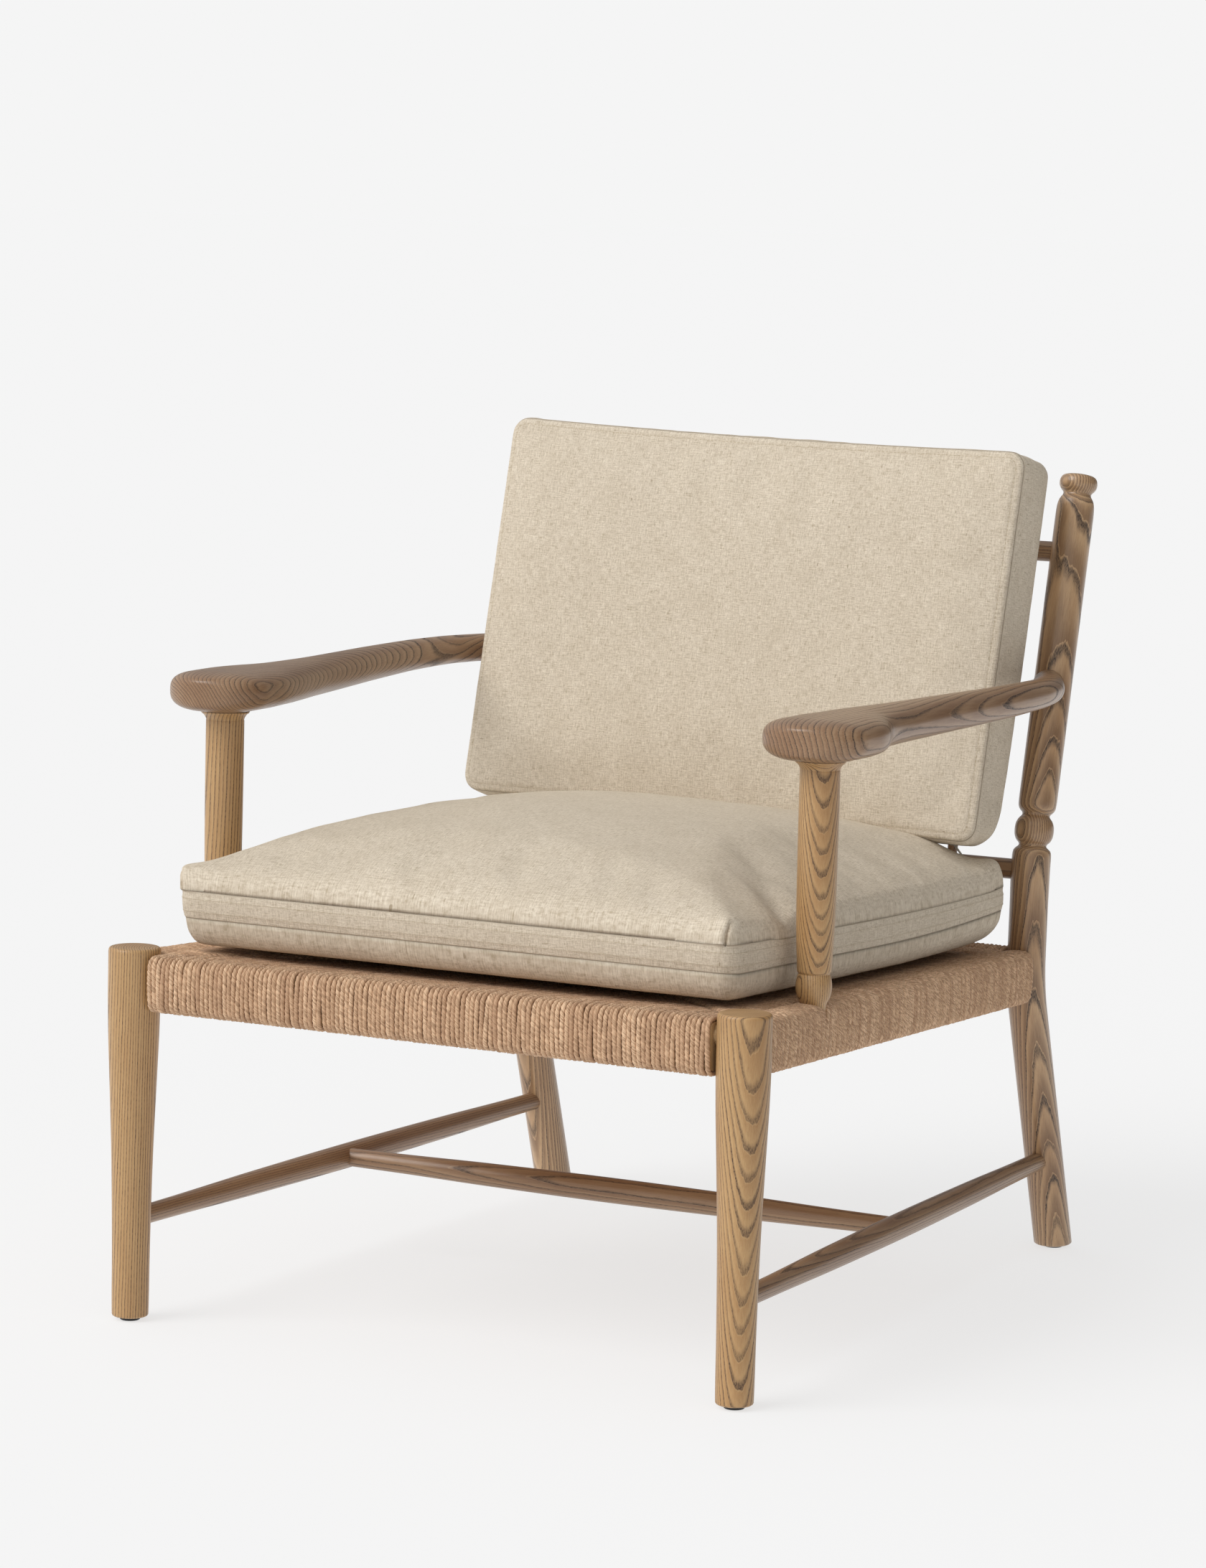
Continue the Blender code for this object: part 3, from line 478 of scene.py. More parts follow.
for sign, side in SIDES:
    zs = stations(POST_PROFILE, 0.008, 3)
    rs = pchip(POST_PROFILE, zs)
    t = np.linspace(0, 2 * math.pi, 72, endpoint=False)
    rings, grains, run = [], [], 0.0
    for i, (z, r) in enumerate(zip(zs, rs)):
        y, slope = post_axis(z)
        if i:
            run += (zs[i] - zs[i - 1]) * math.hypot(1, slope)
        norm = math.hypot(1, slope)
        ca, sa = r * np.cos(t), r * np.sin(t)
        level = max(0.0, 1 - z / 0.030)
        across = np.array((0, 1 / norm, -slope / norm))
        flat = np.array((0, norm, 0))
        way = across * (1 - level) + flat * level
        centre = np.array((sign * POST_X, y, z))
        rings.append(centre + ca[:, None] * (1, 0, 0) + sa[:, None] * way)
        if sign == 1:
            spec = (-0.70, 0.036, -0.050, 0.0027, 0.0)
        else:
            spec = (-1.9, 0.034, 0.050, 0.0027, 2.7)
        if 0.4308 < z < 0.4612 or z > 0.7822:
            spec = (1.1, 0.050, 0.03, 0.0026, 3.3)
        grains.append(growth(ca, sa, np.full(72, run), *spec))
    loft(f"wood_post_{side}", rings, grains, "frame", [POST], replaces=f"rear_post_{side}")

LEG_PROFILE = [(0.0039, 0.0160), (0.0047, 0.0170), (0.0058, 0.0175), (0.060, 0.0180)]
LEG_PROFILE += [(0.120, 0.0189), (0.169, 0.0201), (0.205, 0.0214), (0.240, 0.0228)]
LEG_PROFILE += [(0.280, 0.0243), (0.320, 0.0250), (0.3560, 0.0250), (0.3583, 0.0246)]
LEG_PROFILE += [(0.3596, 0.0236), (0.3603, 0.0215), (0.3605, 0.0120), (0.3606, 0.0010)]
for sign, side in SIDES:
    spec = (-0.80, 0.090, 0.088, 0.0030, 0.0) if sign == 1 else (-2.75, 0.050, 0.016, 0.0026, 1.3)
    lathe(
        f"wood_leg_{side}",
        LEG_PROFILE,
        (sign * LEG_X, 0),
        "frame",
        [LIGHT],
        spec,
        sides=88,
        replaces=f"front_leg_{side}",
    )

SUPPORT_PROFILE = [(0.3180, 0.0105), (0.3190, 0.0112), (0.3450, 0.0118), (0.3485, 0.0126)]
SUPPORT_PROFILE += [(0.3520, 0.0144), (0.3560, 0.0159), (0.3605, 0.0167), (0.3640, 0.0169)]
SUPPORT_PROFILE += [(0.3680, 0.0166), (0.3720, 0.0158), (0.3745, 0.0150), (0.3757, 0.0146)]
SUPPORT_PROFILE += [(0.3766, 0.0150), (0.3776, 0.0158), (0.3850, 0.0162), (0.4020, 0.0171), (0.4280, 0.0180)]
SUPPORT_PROFILE += [(0.4700, 0.0184), (0.5200, 0.0186), (0.5630, 0.0186), (0.5641, 0.0184)]
SUPPORT_PROFILE += [(0.5650, 0.0186), (0.5668, 0.0194), (0.5690, 0.0210), (0.5706, 0.0229)]
SUPPORT_PROFILE += [(0.5716, 0.0237), (0.5722, 0.0238)]
for sign, side in SIDES:
    spec = (-0.90, 0.060, 0.130, 0.0026, 0.6) if sign == 1 else (-2.6, 0.050, 0.030, 0.0034, 2.1)
    lathe(
        f"wood_support_{side}",
        SUPPORT_PROFILE,
        (sign * SUPPORT[0], SUPPORT[1]),
        "frame",
        [LIGHT],
        spec,
        replaces=f"arm_support_{side}",
        foot=(0.3766, (0.9, 0.050, 0.02, 0.0024, 5.1)),
    )

ARM_NOSE_Y = 0.1005
ARM_OUTER = [(0.145, 0.3698), (0.170, 0.3702), (0.190, 0.3684), (0.205, 0.3638), (0.222, 0.3560)]
ARM_OUTER += [(0.245, 0.3495), (0.275, 0.3474)]
ARM_OUTER += [(0.320, 0.3468), (0.380, 0.3482), (0.460, 0.3520), (0.540, 0.3545), (0.610, 0.3520)]
ARM_OUTER += [(0.660, 0.3440), (0.700, 0.3300), (0.730, 0.3150), (0.760, 0.3060)]
ARM_INNER = [(0.145, 0.2656), (0.180, 0.2672), (0.220, 0.2735), (0.260, 0.2815), (0.320, 0.2920)]
ARM_INNER += [(0.400, 0.3030), (0.480, 0.3125), (0.560, 0.3185), (0.610, 0.3175), (0.660, 0.3090)]
ARM_INNER += [(0.700, 0.2965), (0.730, 0.2830), (0.760, 0.2760)]
ARM_HALF_T = [(0.1, 0.0198), (0.26, 0.0196), (0.34, 0.0188), (0.45, 0.0173), (0.55, 0.0158)]
ARM_HALF_T += [(0.65, 0.0145), (0.76, 0.0140)]
ARM_MID_Z = [(0.1, 0.5923), (0.3, 0.5928), (0.45, 0.5945), (0.6, 0.5955), (0.76, 0.5935)]


def arm_ring(y, sign, shrink=1.0, squash=1.0, sides=72):
    outer, inner = pchip(ARM_OUTER, y), pchip(ARM_INNER, y)
    mid, half = (outer + inner) / 2, (outer - inner) / 2 * shrink
    thick = pchip(ARM_HALF_T, y) * squash
    z = pchip(ARM_MID_Z, y)
    power = 2.0 + 0.8 * float(np.clip((0.30 - y) / 0.12, 0, 1))
    t = np.linspace(0, 2 * math.pi, sides, endpoint=False)
    c, s = np.cos(t), np.sin(t)
    c = np.sign(c) * np.abs(c) ** (2 / power)
    s = np.sign(s) * np.abs(s) ** (2 / power)
    zz = z + thick * s
    if y < 0.30:
        floor = ARM_UNDER - 0.004 * float(np.clip((y - 0.22) / 0.08, 0, 1))
        zz = np.maximum(zz, floor)
    return np.stack([sign * (mid + half * c), np.full(sides, y), zz], -1)


for sign, side in SIDES:
    rings = []
    reach = 0.145 - ARM_NOSE_Y
    for a in np.linspace(3, 88, 26):
        t = math.radians(a)
        shrink = math.sin(t) ** 0.92
        squash = min(1.0, 0.46 + 0.56 * math.sin(t) ** 0.7)
        rings.append(arm_ring(0.145 - reach * math.cos(t), sign, shrink, squash))
    for y in np.arange(0.150, 0.7501, 0.006):
        rings.append(arm_ring(y, sign))
    rings = np.array(rings)
    if sign == -1:
        rings = rings[:, ::-1]
    x, y, z = rings[..., 0] - sign * 0.335, rings[..., 1], rings[..., 2] - 0.5923
    if sign == 1:
        g = growth(x, z, y, 0.20, 0.085, 0.030, 0.0047, 4.0)
    else:
        g = growth(x, z, y, 0.95, 0.060, -0.110, 0.0030, 6.3)
    loft(f"wood_arm_{side}", rings, g, "frame", [DARK], replaces=f"arm_{side}", sharp=60)

STRETCHER = [(0.0, 0.0092), (0.10, 0.0098), (0.28, 0.0117), (0.50, 0.0126)]
STRETCHER += [(0.72, 0.0117), (0.90, 0.0098), (1.0, 0.0092)]
post_y = post_axis(STRETCHER_Z)[0]
for sign, side in SIDES:
    lathe_between(
        f"wood_stretcher_{side}",
        (sign * LEG_X, 0, STRETCHER_Z),
        (sign * POST_X, post_y, STRETCHER_Z),
        STRETCHER,
        "frame",
        [DARK],
        (1.2 if sign == 1 else 2.2, 0.05, 0.012, 0.0024, 8.0 + sign),
        flat=1.04,
        replaces=f"side_stretcher_{side}",
    )
cross_x = LEG_X + (POST_X - LEG_X) * CROSS_Y / post_y
lathe_between(
    "wood_stretcher_cross",
    (-cross_x + 0.004, CROSS_Y, STRETCHER_Z),
    (cross_x - 0.004, CROSS_Y, STRETCHER_Z),
    [(0.0, 0.0092), (0.10, 0.0098), (0.28, 0.0117), (0.50, 0.0126), (0.72, 0.0117), (0.90, 0.0098), (1.0, 0.0092)],
    "frame",
    [DARK],
    (0.4, 0.05, 0.016, 0.0030, 11.0),
    flat=1.04,
    replaces="cross_stretcher",
)
for k, (name, z) in enumerate((("low", ROD_LOW_Z), ("top", ROD_TOP_Z))):
    y = post_axis(z)[0]
    lathe_between(
        f"wood_rod_{name}",
        (-POST_X + 0.006, y, z),
        (POST_X - 0.006, y, z),
        [(0, ROD_R), (0.5, ROD_R), (1, ROD_R)],
        "frame",
        [DARK],
        (0.3 + k, 0.05, 0.010, 0.0028, 14.0 + k),
        replaces=f"back_rod_{name}",
    )
SPINDLE = [(0.0, 0.0045), (0.035, 0.0050), (0.25, 0.0074), (0.5, 0.0082), (0.75, 0.0074)]
SPINDLE += [(0.965, 0.0050), (1.0, 0.0045)]
gap = 2 * (POST_X - POST_R) / 8
for k in range(7):
    x = (k - 3) * gap
    lathe_between(
        f"wood_spindle_{k + 1}",
        (x, post_axis(ROD_LOW_Z)[0], ROD_LOW_Z),
        (x, post_axis(ROD_TOP_Z)[0], ROD_TOP_Z),
        SPINDLE,
        "frame",
        [DARK],
        (0.8 * k, 0.04, 0.014, 0.0026, 17.0 + k),
        sides=32,
        replaces=f"back_spindle_{k + 1}",
    )

# ------------------------------------------------------------------ paper cord
def cord_material():
    """Twisted kraft paper: creases that wind round each cord, coloured darker as
    painted shade in the twist, and every cord a little lighter or darker than its neighbours."""
    n = Nodes("paper cord")
    c = n.attr("cord")
    split = n.add("ShaderNodeSeparateXYZ")
    n.link(c, split.inputs[0])
    turn, run, luck = split.outputs
    # run is in lay lengths, turn in whole turns: together they wind round
    wind = n.maths("ADD", n.maths("MULTIPLY", turn, 1.0), run)
    coord = n.add("ShaderNodeCombineXYZ")
    n.link(n.maths("MULTIPLY", wind, 9.0), coord.inputs[0])
    n.link(n.maths("MULTIPLY", run, 0.9), coord.inputs[1])
    n.link(n.maths("MULTIPLY", luck, 97.0), coord.inputs[2])
    shaded_crease = n.noise(coord.outputs[0], 1.0, 3.0, 0.6)
    coord2 = n.add("ShaderNodeCombineXYZ")
    n.link(n.maths("MULTIPLY", wind, 34.0), coord2.inputs[0])
    n.link(n.maths("MULTIPLY", run, 2.6), coord2.inputs[1])
    n.link(n.maths("MULTIPLY", luck, 51.0), coord2.inputs[2])
    fibre = n.noise(coord2.outputs[0], 1.0, 2.0, 0.6)
    tone = n.ramp(
        n.maths("FRACT", n.maths("MULTIPLY", luck, 13.7)),
        [(0.0, srgb(190, 152, 120)), (0.5, srgb(212, 175, 140)), (1.0, srgb(230, 195, 160))],
    )
    # painted shade: the creases of the twist are coloured darker, standing in for the shade that falls in them
    colour = n.mix(n.remap(shaded_crease, 0.38, 0.62, 0.0, 0.78), tone, srgb(138, 102, 74))
    colour = n.mix(n.remap(fibre, 0.35, 0.75, 0.0, 0.35), colour, srgb(222, 188, 152))
    height = n.maths("ADD", n.maths("MULTIPLY", shaded_crease, -0.8), n.maths("MULTIPLY", fibre, 0.35))
    n.set(
        Base_Color=colour,
        Roughness=0.74,
        Normal=n.bump(height, 0.55, 0.0007),
        Specular_IOR_Level=0.32,
        Sheen_Weight=0.08,
    )
    return n.mat


CORD = cord_material()
CORD_R = 0.00236
LAY = 0.0105
weave_verts, weave_quads, weave_attr = [], [], []
weave_count = 0


def add_strand(points, outward, luck, radius=CORD_R, sides=9, phase=0.0):
    """A twisted cord along points. outward is one unit vector across its plane."""
    global weave_count
    p = np.asarray(points, float)
    tangent = np.gradient(p, axis=0)
    tangent /= np.linalg.norm(tangent, axis=1)[:, None]
    b = np.asarray(outward, float)[None, :] * np.ones((len(p), 1))
    nrm = np.cross(b, tangent)
    nrm /= np.linalg.norm(nrm, axis=1)[:, None]
    b = np.cross(tangent, nrm)
    run = np.concatenate([[0], np.cumsum(np.linalg.norm(np.diff(p, axis=0), axis=1))]) / LAY + phase
    t = np.arange(sides) / sides
    wind = 2 * math.pi * (t[None, :] + run[:, None])
    lobes = 1 + 0.125 * np.cos(2 * wind) + 0.045 * np.cos(3 * wind + luck * 20)
    lobes *= 1 + 0.05 * np.sin(run * 1.9 + luck * 40)[:, None]
    r = radius * lobes
    ang = 2 * math.pi * t[None, :]
    rings = p[:, None, :] + (r * np.cos(ang))[..., None] * nrm[:, None, :]
    rings += (r * np.sin(ang) * 1.02)[..., None] * b[:, None, :]
    weave_verts.append(rings.reshape(-1, 3))
    weave_quads.append(skin(len(p), sides, True, weave_count))
    # end caps
    j = np.arange(1, sides - 1, 2)
    for base, flip in ((weave_count, True), (weave_count + (len(p) - 1) * sides, False)):
        cap = np.stack([np.zeros_like(j), j, j + 1, (j + 2) % sides], -1) + base
        cap = cap[(cap[:, 3] != cap[:, 0])]
        weave_quads.append(cap[:, ::-1] if flip else cap)
    attr = np.empty((len(p), sides, 3))
    attr[..., 0] = t[None, :]
    attr[..., 1] = run[:, None]
    attr[..., 2] = luck
    weave_attr.append(attr.reshape(-1, 3))
    weave_count += len(p) * sides


def wrap_path(inner_top, inner_low, half, step=0.0016, corner=0.0085, wobble=None):
    """(out, up) points of a cord from the top of the seat, round the outside of
    a rail whose middle is (0, 0), and back under it. out is away from the seat."""
    w, h = half
    pts = [(-inner_top, h - 0.0028), (-inner_top + 0.004, h - 0.0008)]
    far = -inner_top + 0.010
    if far < -w - 0.02:
        pts += [(x, h - 0.0003) for x in np.arange(far, -w - 0.004, 0.012)]
    pts += [(x, h) for x in np.arange(max(-w - 0.004, -inner_top + 0.0045), w - corner, 0.003)]
    for a in np.linspace(90, 0, 9):
        t = math.radians(a)
        pts.append((w - corner + corner * math.cos(t), h - corner + corner * math.sin(t)))
    n = int(2 * (h - corner) / step)
    for k in range(1, n):
        f = k / n
        bulge = 0.0007 * math.sin(math.pi * f)
        pts.append((w + bulge, h - corner - 2 * (h - corner) * f))
    for a in np.linspace(0, -90, 9):
        t = math.radians(a)
        pts.append((w - corner + corner * math.cos(t), -h + corner + corner * math.sin(t)))
    pts += [(x, -h) for x in np.arange(w - corner - 0.004, max(-w - 0.004, -inner_low + 0.0045), -0.004)]
    far = -w - 0.010
    if far > -inner_low + 0.01:
        pts += [(x, -h + 0.0003) for x in np.arange(far, -inner_low + 0.008, -0.014)]
    pts += [(-inner_low + 0.004, -h + 0.0010), (-inner_low, -h + 0.0030)]
    return np.array(pts)


half = (WRAP_HALF[0] - CORD_R - 0.0006, WRAP_HALF[1] - CORD_R)
pitch = 0.00487
seat_mid = (FRONT_RAIL_Y + REAR_RAIL_Y) / 2


def dish(x, y):
    """How far the woven layers dip between the rails, where nothing holds them."""
    fx = x / 0.30
    fy = (y - seat_mid) / (seat_mid - FRONT_RAIL_Y)
    return np.clip(1 - fx**4, 0, 1) * np.clip(1 - fy**4, 0, 1)


def place_wrap(kind, at, luck, push=0.0):
    """One cord over the front or rear rail at x, or over a side rail at y."""
    if kind in ("front", "rear"):
        way = -1 if kind == "front" else 1
        rail_y = FRONT_RAIL_Y if kind == "front" else REAR_RAIL_Y
        rail_z = RAIL_Z_FRONT if kind == "front" else RAIL_Z_REAR
        edge = (LEG_X - 0.0255) if kind == "front" else (POST_X - POST_R - 0.001)
        reach = WRAP_HALF[0] + 0.004 + max(0.0, edge - abs(at)) * 0.98
        reach = min(reach, 0.295 if kind == "front" else 0.27)
        path = wrap_path(reach, reach, half)
        x = np.full(len(path), at)
        y = rail_y + way * path[:, 0]
        z = rail_z + path[:, 1]
        slope = (RAIL_Z_REAR - RAIL_Z_FRONT) / REAR_RAIL_Y
        inside = path[:, 0] < -WRAP_HALF[0]
        z = z + np.where(inside, slope * (y - rail_y), 0)
        flat = np.where(inside, dish(x, y), 0)
        z = z + np.where(path[:, 1] > 0, -0.0060 * flat, 0.0140 * flat)
        z = z - np.where(path[:, 1] > 0, 0.0026 * np.exp(-(((path[:, 0] + 0.0150) / 0.0045) ** 2)), 0)
        pts = np.stack([x, y, z], -1)
        lean = rng.normal(0, 0.00050)
        wave = 0.00028 * np.sin(np.arange(len(x)) * 0.11 + luck * 60)
        pts[:, 0] += wave + lean * np.clip(path[:, 1] / half[1], -1, 1)
        normal = (1.0 * -way, 0, 0)
    else:
        sign = 1 if kind == "left" else -1
        mid = side_rail_point(at, sign)
        front_gap = at - 0.026
        rear_gap = (REAR_RAIL_Y - POST_R - 0.003) - at
        reach = WRAP_HALF[0] + 0.004 + max(0.0, min(front_gap, rear_gap)) * 0.98
        reach = min(reach, abs(mid[0]) - 0.002)
        path = wrap_path(reach, reach, half)
        x = sign * (abs(mid[0]) + path[:, 0])
        y = np.full(len(path), at)
        z = mid[2] + path[:, 1]
        inside = path[:, 0] < -WRAP_HALF[0]
        flat = np.where(inside, dish(x, y), 0)
        z = z + np.where(path[:, 1] > 0, -0.0060 * flat, 0.0140 * flat)
        z = z - np.where(path[:, 1] > 0, 0.0024 * np.exp(-(((path[:, 0] + 0.0150) / 0.0045) ** 2)), 0)
        pts = np.stack([x, y, z], -1)
        wave = 0.00028 * np.sin(np.arange(len(x)) * 0.13 + luck * 70)
        lean = rng.normal(0, 0.0004) + 0.0011
        pts[:, 1] += wave + lean * np.clip(path[:, 1] / half[1], -1, 1)
        if push:
            top = np.clip((path[:, 1] - half[1] * 0.1) / (half[1] * 0.9), 0, 1)
            near = np.exp(-((path[:, 0] - 0.0) / 0.016) ** 2)
            pts[:, 1] += push * top * near
        normal = (0, 1.0 * sign, 0)
    add_strand(pts, normal, luck, CORD_R * (1 + rng.normal(0, 0.015)), phase=rng.random() * 5)


def spread(a, b):
    """Evenly pitched places between a and b, each a hair out of true."""
    n = int((b - a) / pitch)
    base = a + (b - a) * (np.arange(n) + 0.5) / n
    return base + rng.normal(0, 0.00016, n)


front_edge = LEG_X - 0.0256
for at in spread(-front_edge, front_edge):
    place_wrap("front", at, rng.random())
rear_edge = POST_X - POST_R - 0.0008
for at in spread(-rear_edge, rear_edge):
    place_wrap("rear", at, rng.random())
for kind, sign in (("left", 1), ("right", -1)):
    for at in spread(0.0262, REAR_RAIL_Y - POST_R - 0.0026):
        off = at - SUPPORT[1]
        push = 0.0
        if abs(off) < 0.030:
            push = math.copysign(0.0122 * (1 - abs(off) / 0.030) ** 1.2, off)
        place_wrap(kind, at, rng.random(), push)

seat = make(
    "seat_cord",
    np.concatenate(weave_verts),
    weave_quads,
    "frame",
    {"cord": np.concatenate(weave_attr)},
    [CORD],
    sharp=0,
)
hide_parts("woven_seat")


# ------------------------------------------------------------------ linen
def linen():
    """Heathered linen: warp and weft of uneven yarn, paler and darker threads,
    a few dark slubs, and painted shade along the seams. weave is metres across and along the panel."""
    n = Nodes("linen weave")
    w = n.attr("weave")
    seam = n.attr("seam", "Fac")
    split = n.add("ShaderNodeSeparateXYZ")
    n.link(w, split.inputs[0])
    u, v, panel = split.outputs
    wob = n.noise(n.scaled(w, (260, 260, 1)), 1.0, 2.0)
    wob = n.maths("MULTIPLY", n.maths("SUBTRACT", wob, 0.5), 0.00075)
    uu = n.maths("ADD", u, wob)
    vv = n.maths("SUBTRACT", v, wob)
    pitch = 0.00072
    su = n.maths("SINE", n.maths("MULTIPLY", uu, 2 * math.pi / pitch))
    sv = n.maths("SINE", n.maths("MULTIPLY", vv, 2 * math.pi / pitch))
    cell = n.maths("MULTIPLY", su, sv)
    warp = n.noise(n.scaled(w, (900, 110, 3)), 1.0, 3.0, 0.65)
    weft = n.noise(n.scaled(w, (110, 900, 5), (4, 4, 4)), 1.0, 3.0, 0.65)
    grainy = n.noise(n.scaled(w, (620, 620, 9)), 1.0, 3.0, 0.7)
    cloud = n.noise(n.scaled(w, (28, 28, 2)), 1.0, 3.0, 0.55)
    slub = n.remap(n.noise(n.scaled(w, (330, 95, 7), (1, 2, 3)), 1.0, 1.0), 0.745, 0.80)
    slub = n.maths("MAXIMUM", slub, n.remap(n.noise(n.scaled(w, (90, 330, 8), (6, 2, 3)), 1.0, 1.0), 0.755, 0.81))
    threads = n.maths("ADD", n.maths("MULTIPLY", warp, 0.5), n.maths("MULTIPLY", weft, 0.5))
    pale, mid, deep = srgb(*LINEN_PALE), srgb(*LINEN_MID), srgb(*LINEN_DEEP)
    colour = n.ramp(threads, [(0.34, deep), (0.49, mid), (0.64, pale)])
    colour = n.mix(n.remap(grainy, 0.46, 0.66, 0.0, 0.42), colour, deep)
    colour = n.mix(n.remap(cell, -1.0, 1.0, 0.0, 0.14, smooth=False), colour, deep)
    colour = n.mix(n.remap(cloud, 0.35, 0.75, 0.0, 0.16), colour, deep)
    colour = n.mix(n.maths("MULTIPLY", slub, 0.55), colour, srgb(138, 118, 88))
    # painted shade: the cover is darker along the seam and stitch grooves and in the dart folds
    colour = n.mix(n.maths("MULTIPLY", seam, 0.26, clamp=True), colour, srgb(142, 124, 98))
    height = n.maths("ADD", n.maths("MULTIPLY", cell, 0.35), n.maths("MULTIPLY", grainy, 1.1))
    height = n.maths("ADD", height, n.maths("MULTIPLY", threads, 1.2))
    n.set(
        Base_Color=colour,
        Roughness=0.90,
        Normal=n.bump(height, 0.60, 0.00045),
        Specular_IOR_Level=0.18,
        Sheen_Weight=0.22,
        Sheen_Roughness=0.45,
    )
    n.shader.inputs["Sheen Tint"].default_value = (*srgb(236, 226, 206), 1)
    return n.mat


LINEN_PALE, LINEN_MID, LINEN_DEEP = (238, 227, 208), (219, 206, 187), (178, 162, 137)
LINEN = linen()


def thread_material():
    n = Nodes("stitch thread")
    coord = n.add("ShaderNodeTexCoord").outputs["Object"]
    twist = n.noise(n.scaled(coord, (1800, 1800, 1800)), 1.0, 1.0)
    n.set(
        Base_Color=n.mix(twist, srgb(206, 190, 162), srgb(168, 150, 120)),
        Roughness=0.7,
        Normal=n.bump(twist, 0.3, 0.0001),
    )
    return n.mat


THREAD = thread_material()


def wave(points, scale, seed=0.0):
    """Smooth noise from -1 to 1 at points, without any chance in it."""
    from mathutils import noise

    shift = Vector((seed * 1.7, seed * 3.1, seed * 0.9))
    return np.array([noise.noise(Vector(p) * scale + shift) for p in points])


def edge_steps(half, stitch=None, step=0.0075):
    """Places across a panel: close together by the seams."""
    near = [0.0, 0.0010, 0.0022, 0.0038]
    near += [stitch - 0.0009, stitch, stitch + 0.0009] if stitch else [0.0062]
    near += [0.0105, 0.0145, 0.0200, 0.0265]
    n = max(4, round((2 * half - 2 * 0.0265) / step))
    inner = list(np.linspace(-half + 0.0265, half - 0.0265, n + 1))[1:-1]
    return np.array([-half + d for d in near] + inner + [half - d for d in reversed(near)])


class Cushion:
    """A sewn cushion in its own frame: a front panel (z up), a band round the
    edge and a rear panel. The grid follows the panels, so seams and stitches
    are rows of it."""

    def __init__(self, half_w, half_h, corner, front_z, rear_z, front, rear, band, stitch=None):
        xs, ys = edge_steps(half_w, stitch), edge_steps(half_h, stitch)
        self.nx, self.ny = len(xs), len(ys)
        gx, gy = np.meshgrid(xs, ys)
        dx, dy = np.abs(gx) - (half_w - corner), np.abs(gy) - (half_h - corner)
        inside = (dx > 0) & (dy > 0)
        reach = np.hypot(dx, dy) + 1e-12
        scale = np.where(inside, np.maximum(dx, dy) / reach, 1.0)
        x = np.where(inside, np.sign(gx) * (half_w - corner + dx * scale), gx)
        y = np.where(inside, np.sign(gy) * (half_h - corner + dy * scale), gy)
        depth = np.where(inside, corner - np.maximum(dx, dy), np.minimum(half_w - np.abs(gx), half_h - np.abs(gy)))
        fx, fy = gx / half_w, gy / half_h
        self.fx, self.fy, self.depth = fx, fy, depth
        top = np.stack([x, y, front_z + front(fx, fy, depth)], -1)
        low = np.stack([x, y, rear_z - rear(fx, fy, depth)], -1)
        nx, ny = self.nx, self.ny
        index = np.arange(nx * ny).reshape(ny, nx)
        loop = np.concatenate([index[0, :-1], index[:-1, -1], index[-1, :0:-1], index[:0:-1, 0]])
        self.loop = loop
        n = len(loop)
        edge = top.reshape(-1, 3)[loop]
        nrm = np.roll(edge[:, :2], -1, 0) - np.roll(edge[:, :2], 1, 0)
        nrm = np.stack([nrm[:, 1], -nrm[:, 0]], -1)
        nrm /= np.linalg.norm(nrm, axis=1)[:, None]
        seg = np.linalg.norm(np.roll(edge, -1, 0) - edge, axis=1)
        run = np.concatenate([[0], np.cumsum(seg)[:-1]])
        self.perimeter = run[-1] + seg[-1]
        self.run = run
        rows, deep = [], front_z - rear_z
        for t, out in band[1:-1]:
            z = front_z - deep * t
            rows.append(np.column_stack([edge[:, :2] + nrm * out, np.full(n, z)]))
        self.band = band
        count = nx * ny
        rows = np.array(rows)
        self.verts = np.concatenate([top.reshape(-1, 3), rows.reshape(-1, 3), low.reshape(-1, 3)])
        nb = len(rows)
        q = np.stack([index[:-1, :-1], index[:-1, 1:], index[1:, 1:], index[1:, :-1]], -1).reshape(-1, 4)
        low_base = count + nb * n
        quads = [q, q[:, ::-1] + low_base]
        ids = [loop] + [count + k * n + np.arange(n) for k in range(nb)] + [loop + low_base]
        for a, b in zip(ids, ids[1:]):
            quads.append(np.stack([np.roll(a, -1), a, b, np.roll(b, -1)], -1)[:, ::-1])
        self.rows = ids
        self.quads = np.concatenate(quads)
        # cloth coordinates and how near a seam each point lies
        flat = np.stack([gx, gy, np.zeros_like(gx)], -1).reshape(-1, 3)
        weave = [flat]
        for t, _ in band[1:-1]:
            weave.append(np.column_stack([run, np.full(n, -deep * t), np.full(n, 1.0)]))
        weave.append(flat + (0.011, 0.017, 2.0))
        self.weave = np.concatenate(weave)
        to_seam = [depth.ravel()]
        for t, _ in band[1:-1]:
            to_seam.append(np.full(n, min(t, 1 - t) * deep))
        to_seam.append(depth.ravel())
        self.to_seam = np.concatenate(to_seam)
        self.part = np.concatenate([np.zeros(count), np.ones(nb * n), np.full(count, 2)])
        self.count, self.n, self.deep, self.low_base = count, n, deep, low_base

    def normals(self):
        p = self.verts
        a, b, c, d = (p[self.quads[:, k]] for k in range(4))
        face = np.cross(c - a, d - b)
        out = np.zeros_like(p)
        for k in range(4):
            np.add.at(out, self.quads[:, k], face)
        return out / (np.linalg.norm(out, axis=1)[:, None] + 1e-12)

    def push(self, amount):
        self.verts = self.verts + self.normals() * np.asarray(amount)[:, None]


def groove(distance, width, depth):
    return -depth * np.exp(-((distance / width) ** 2))


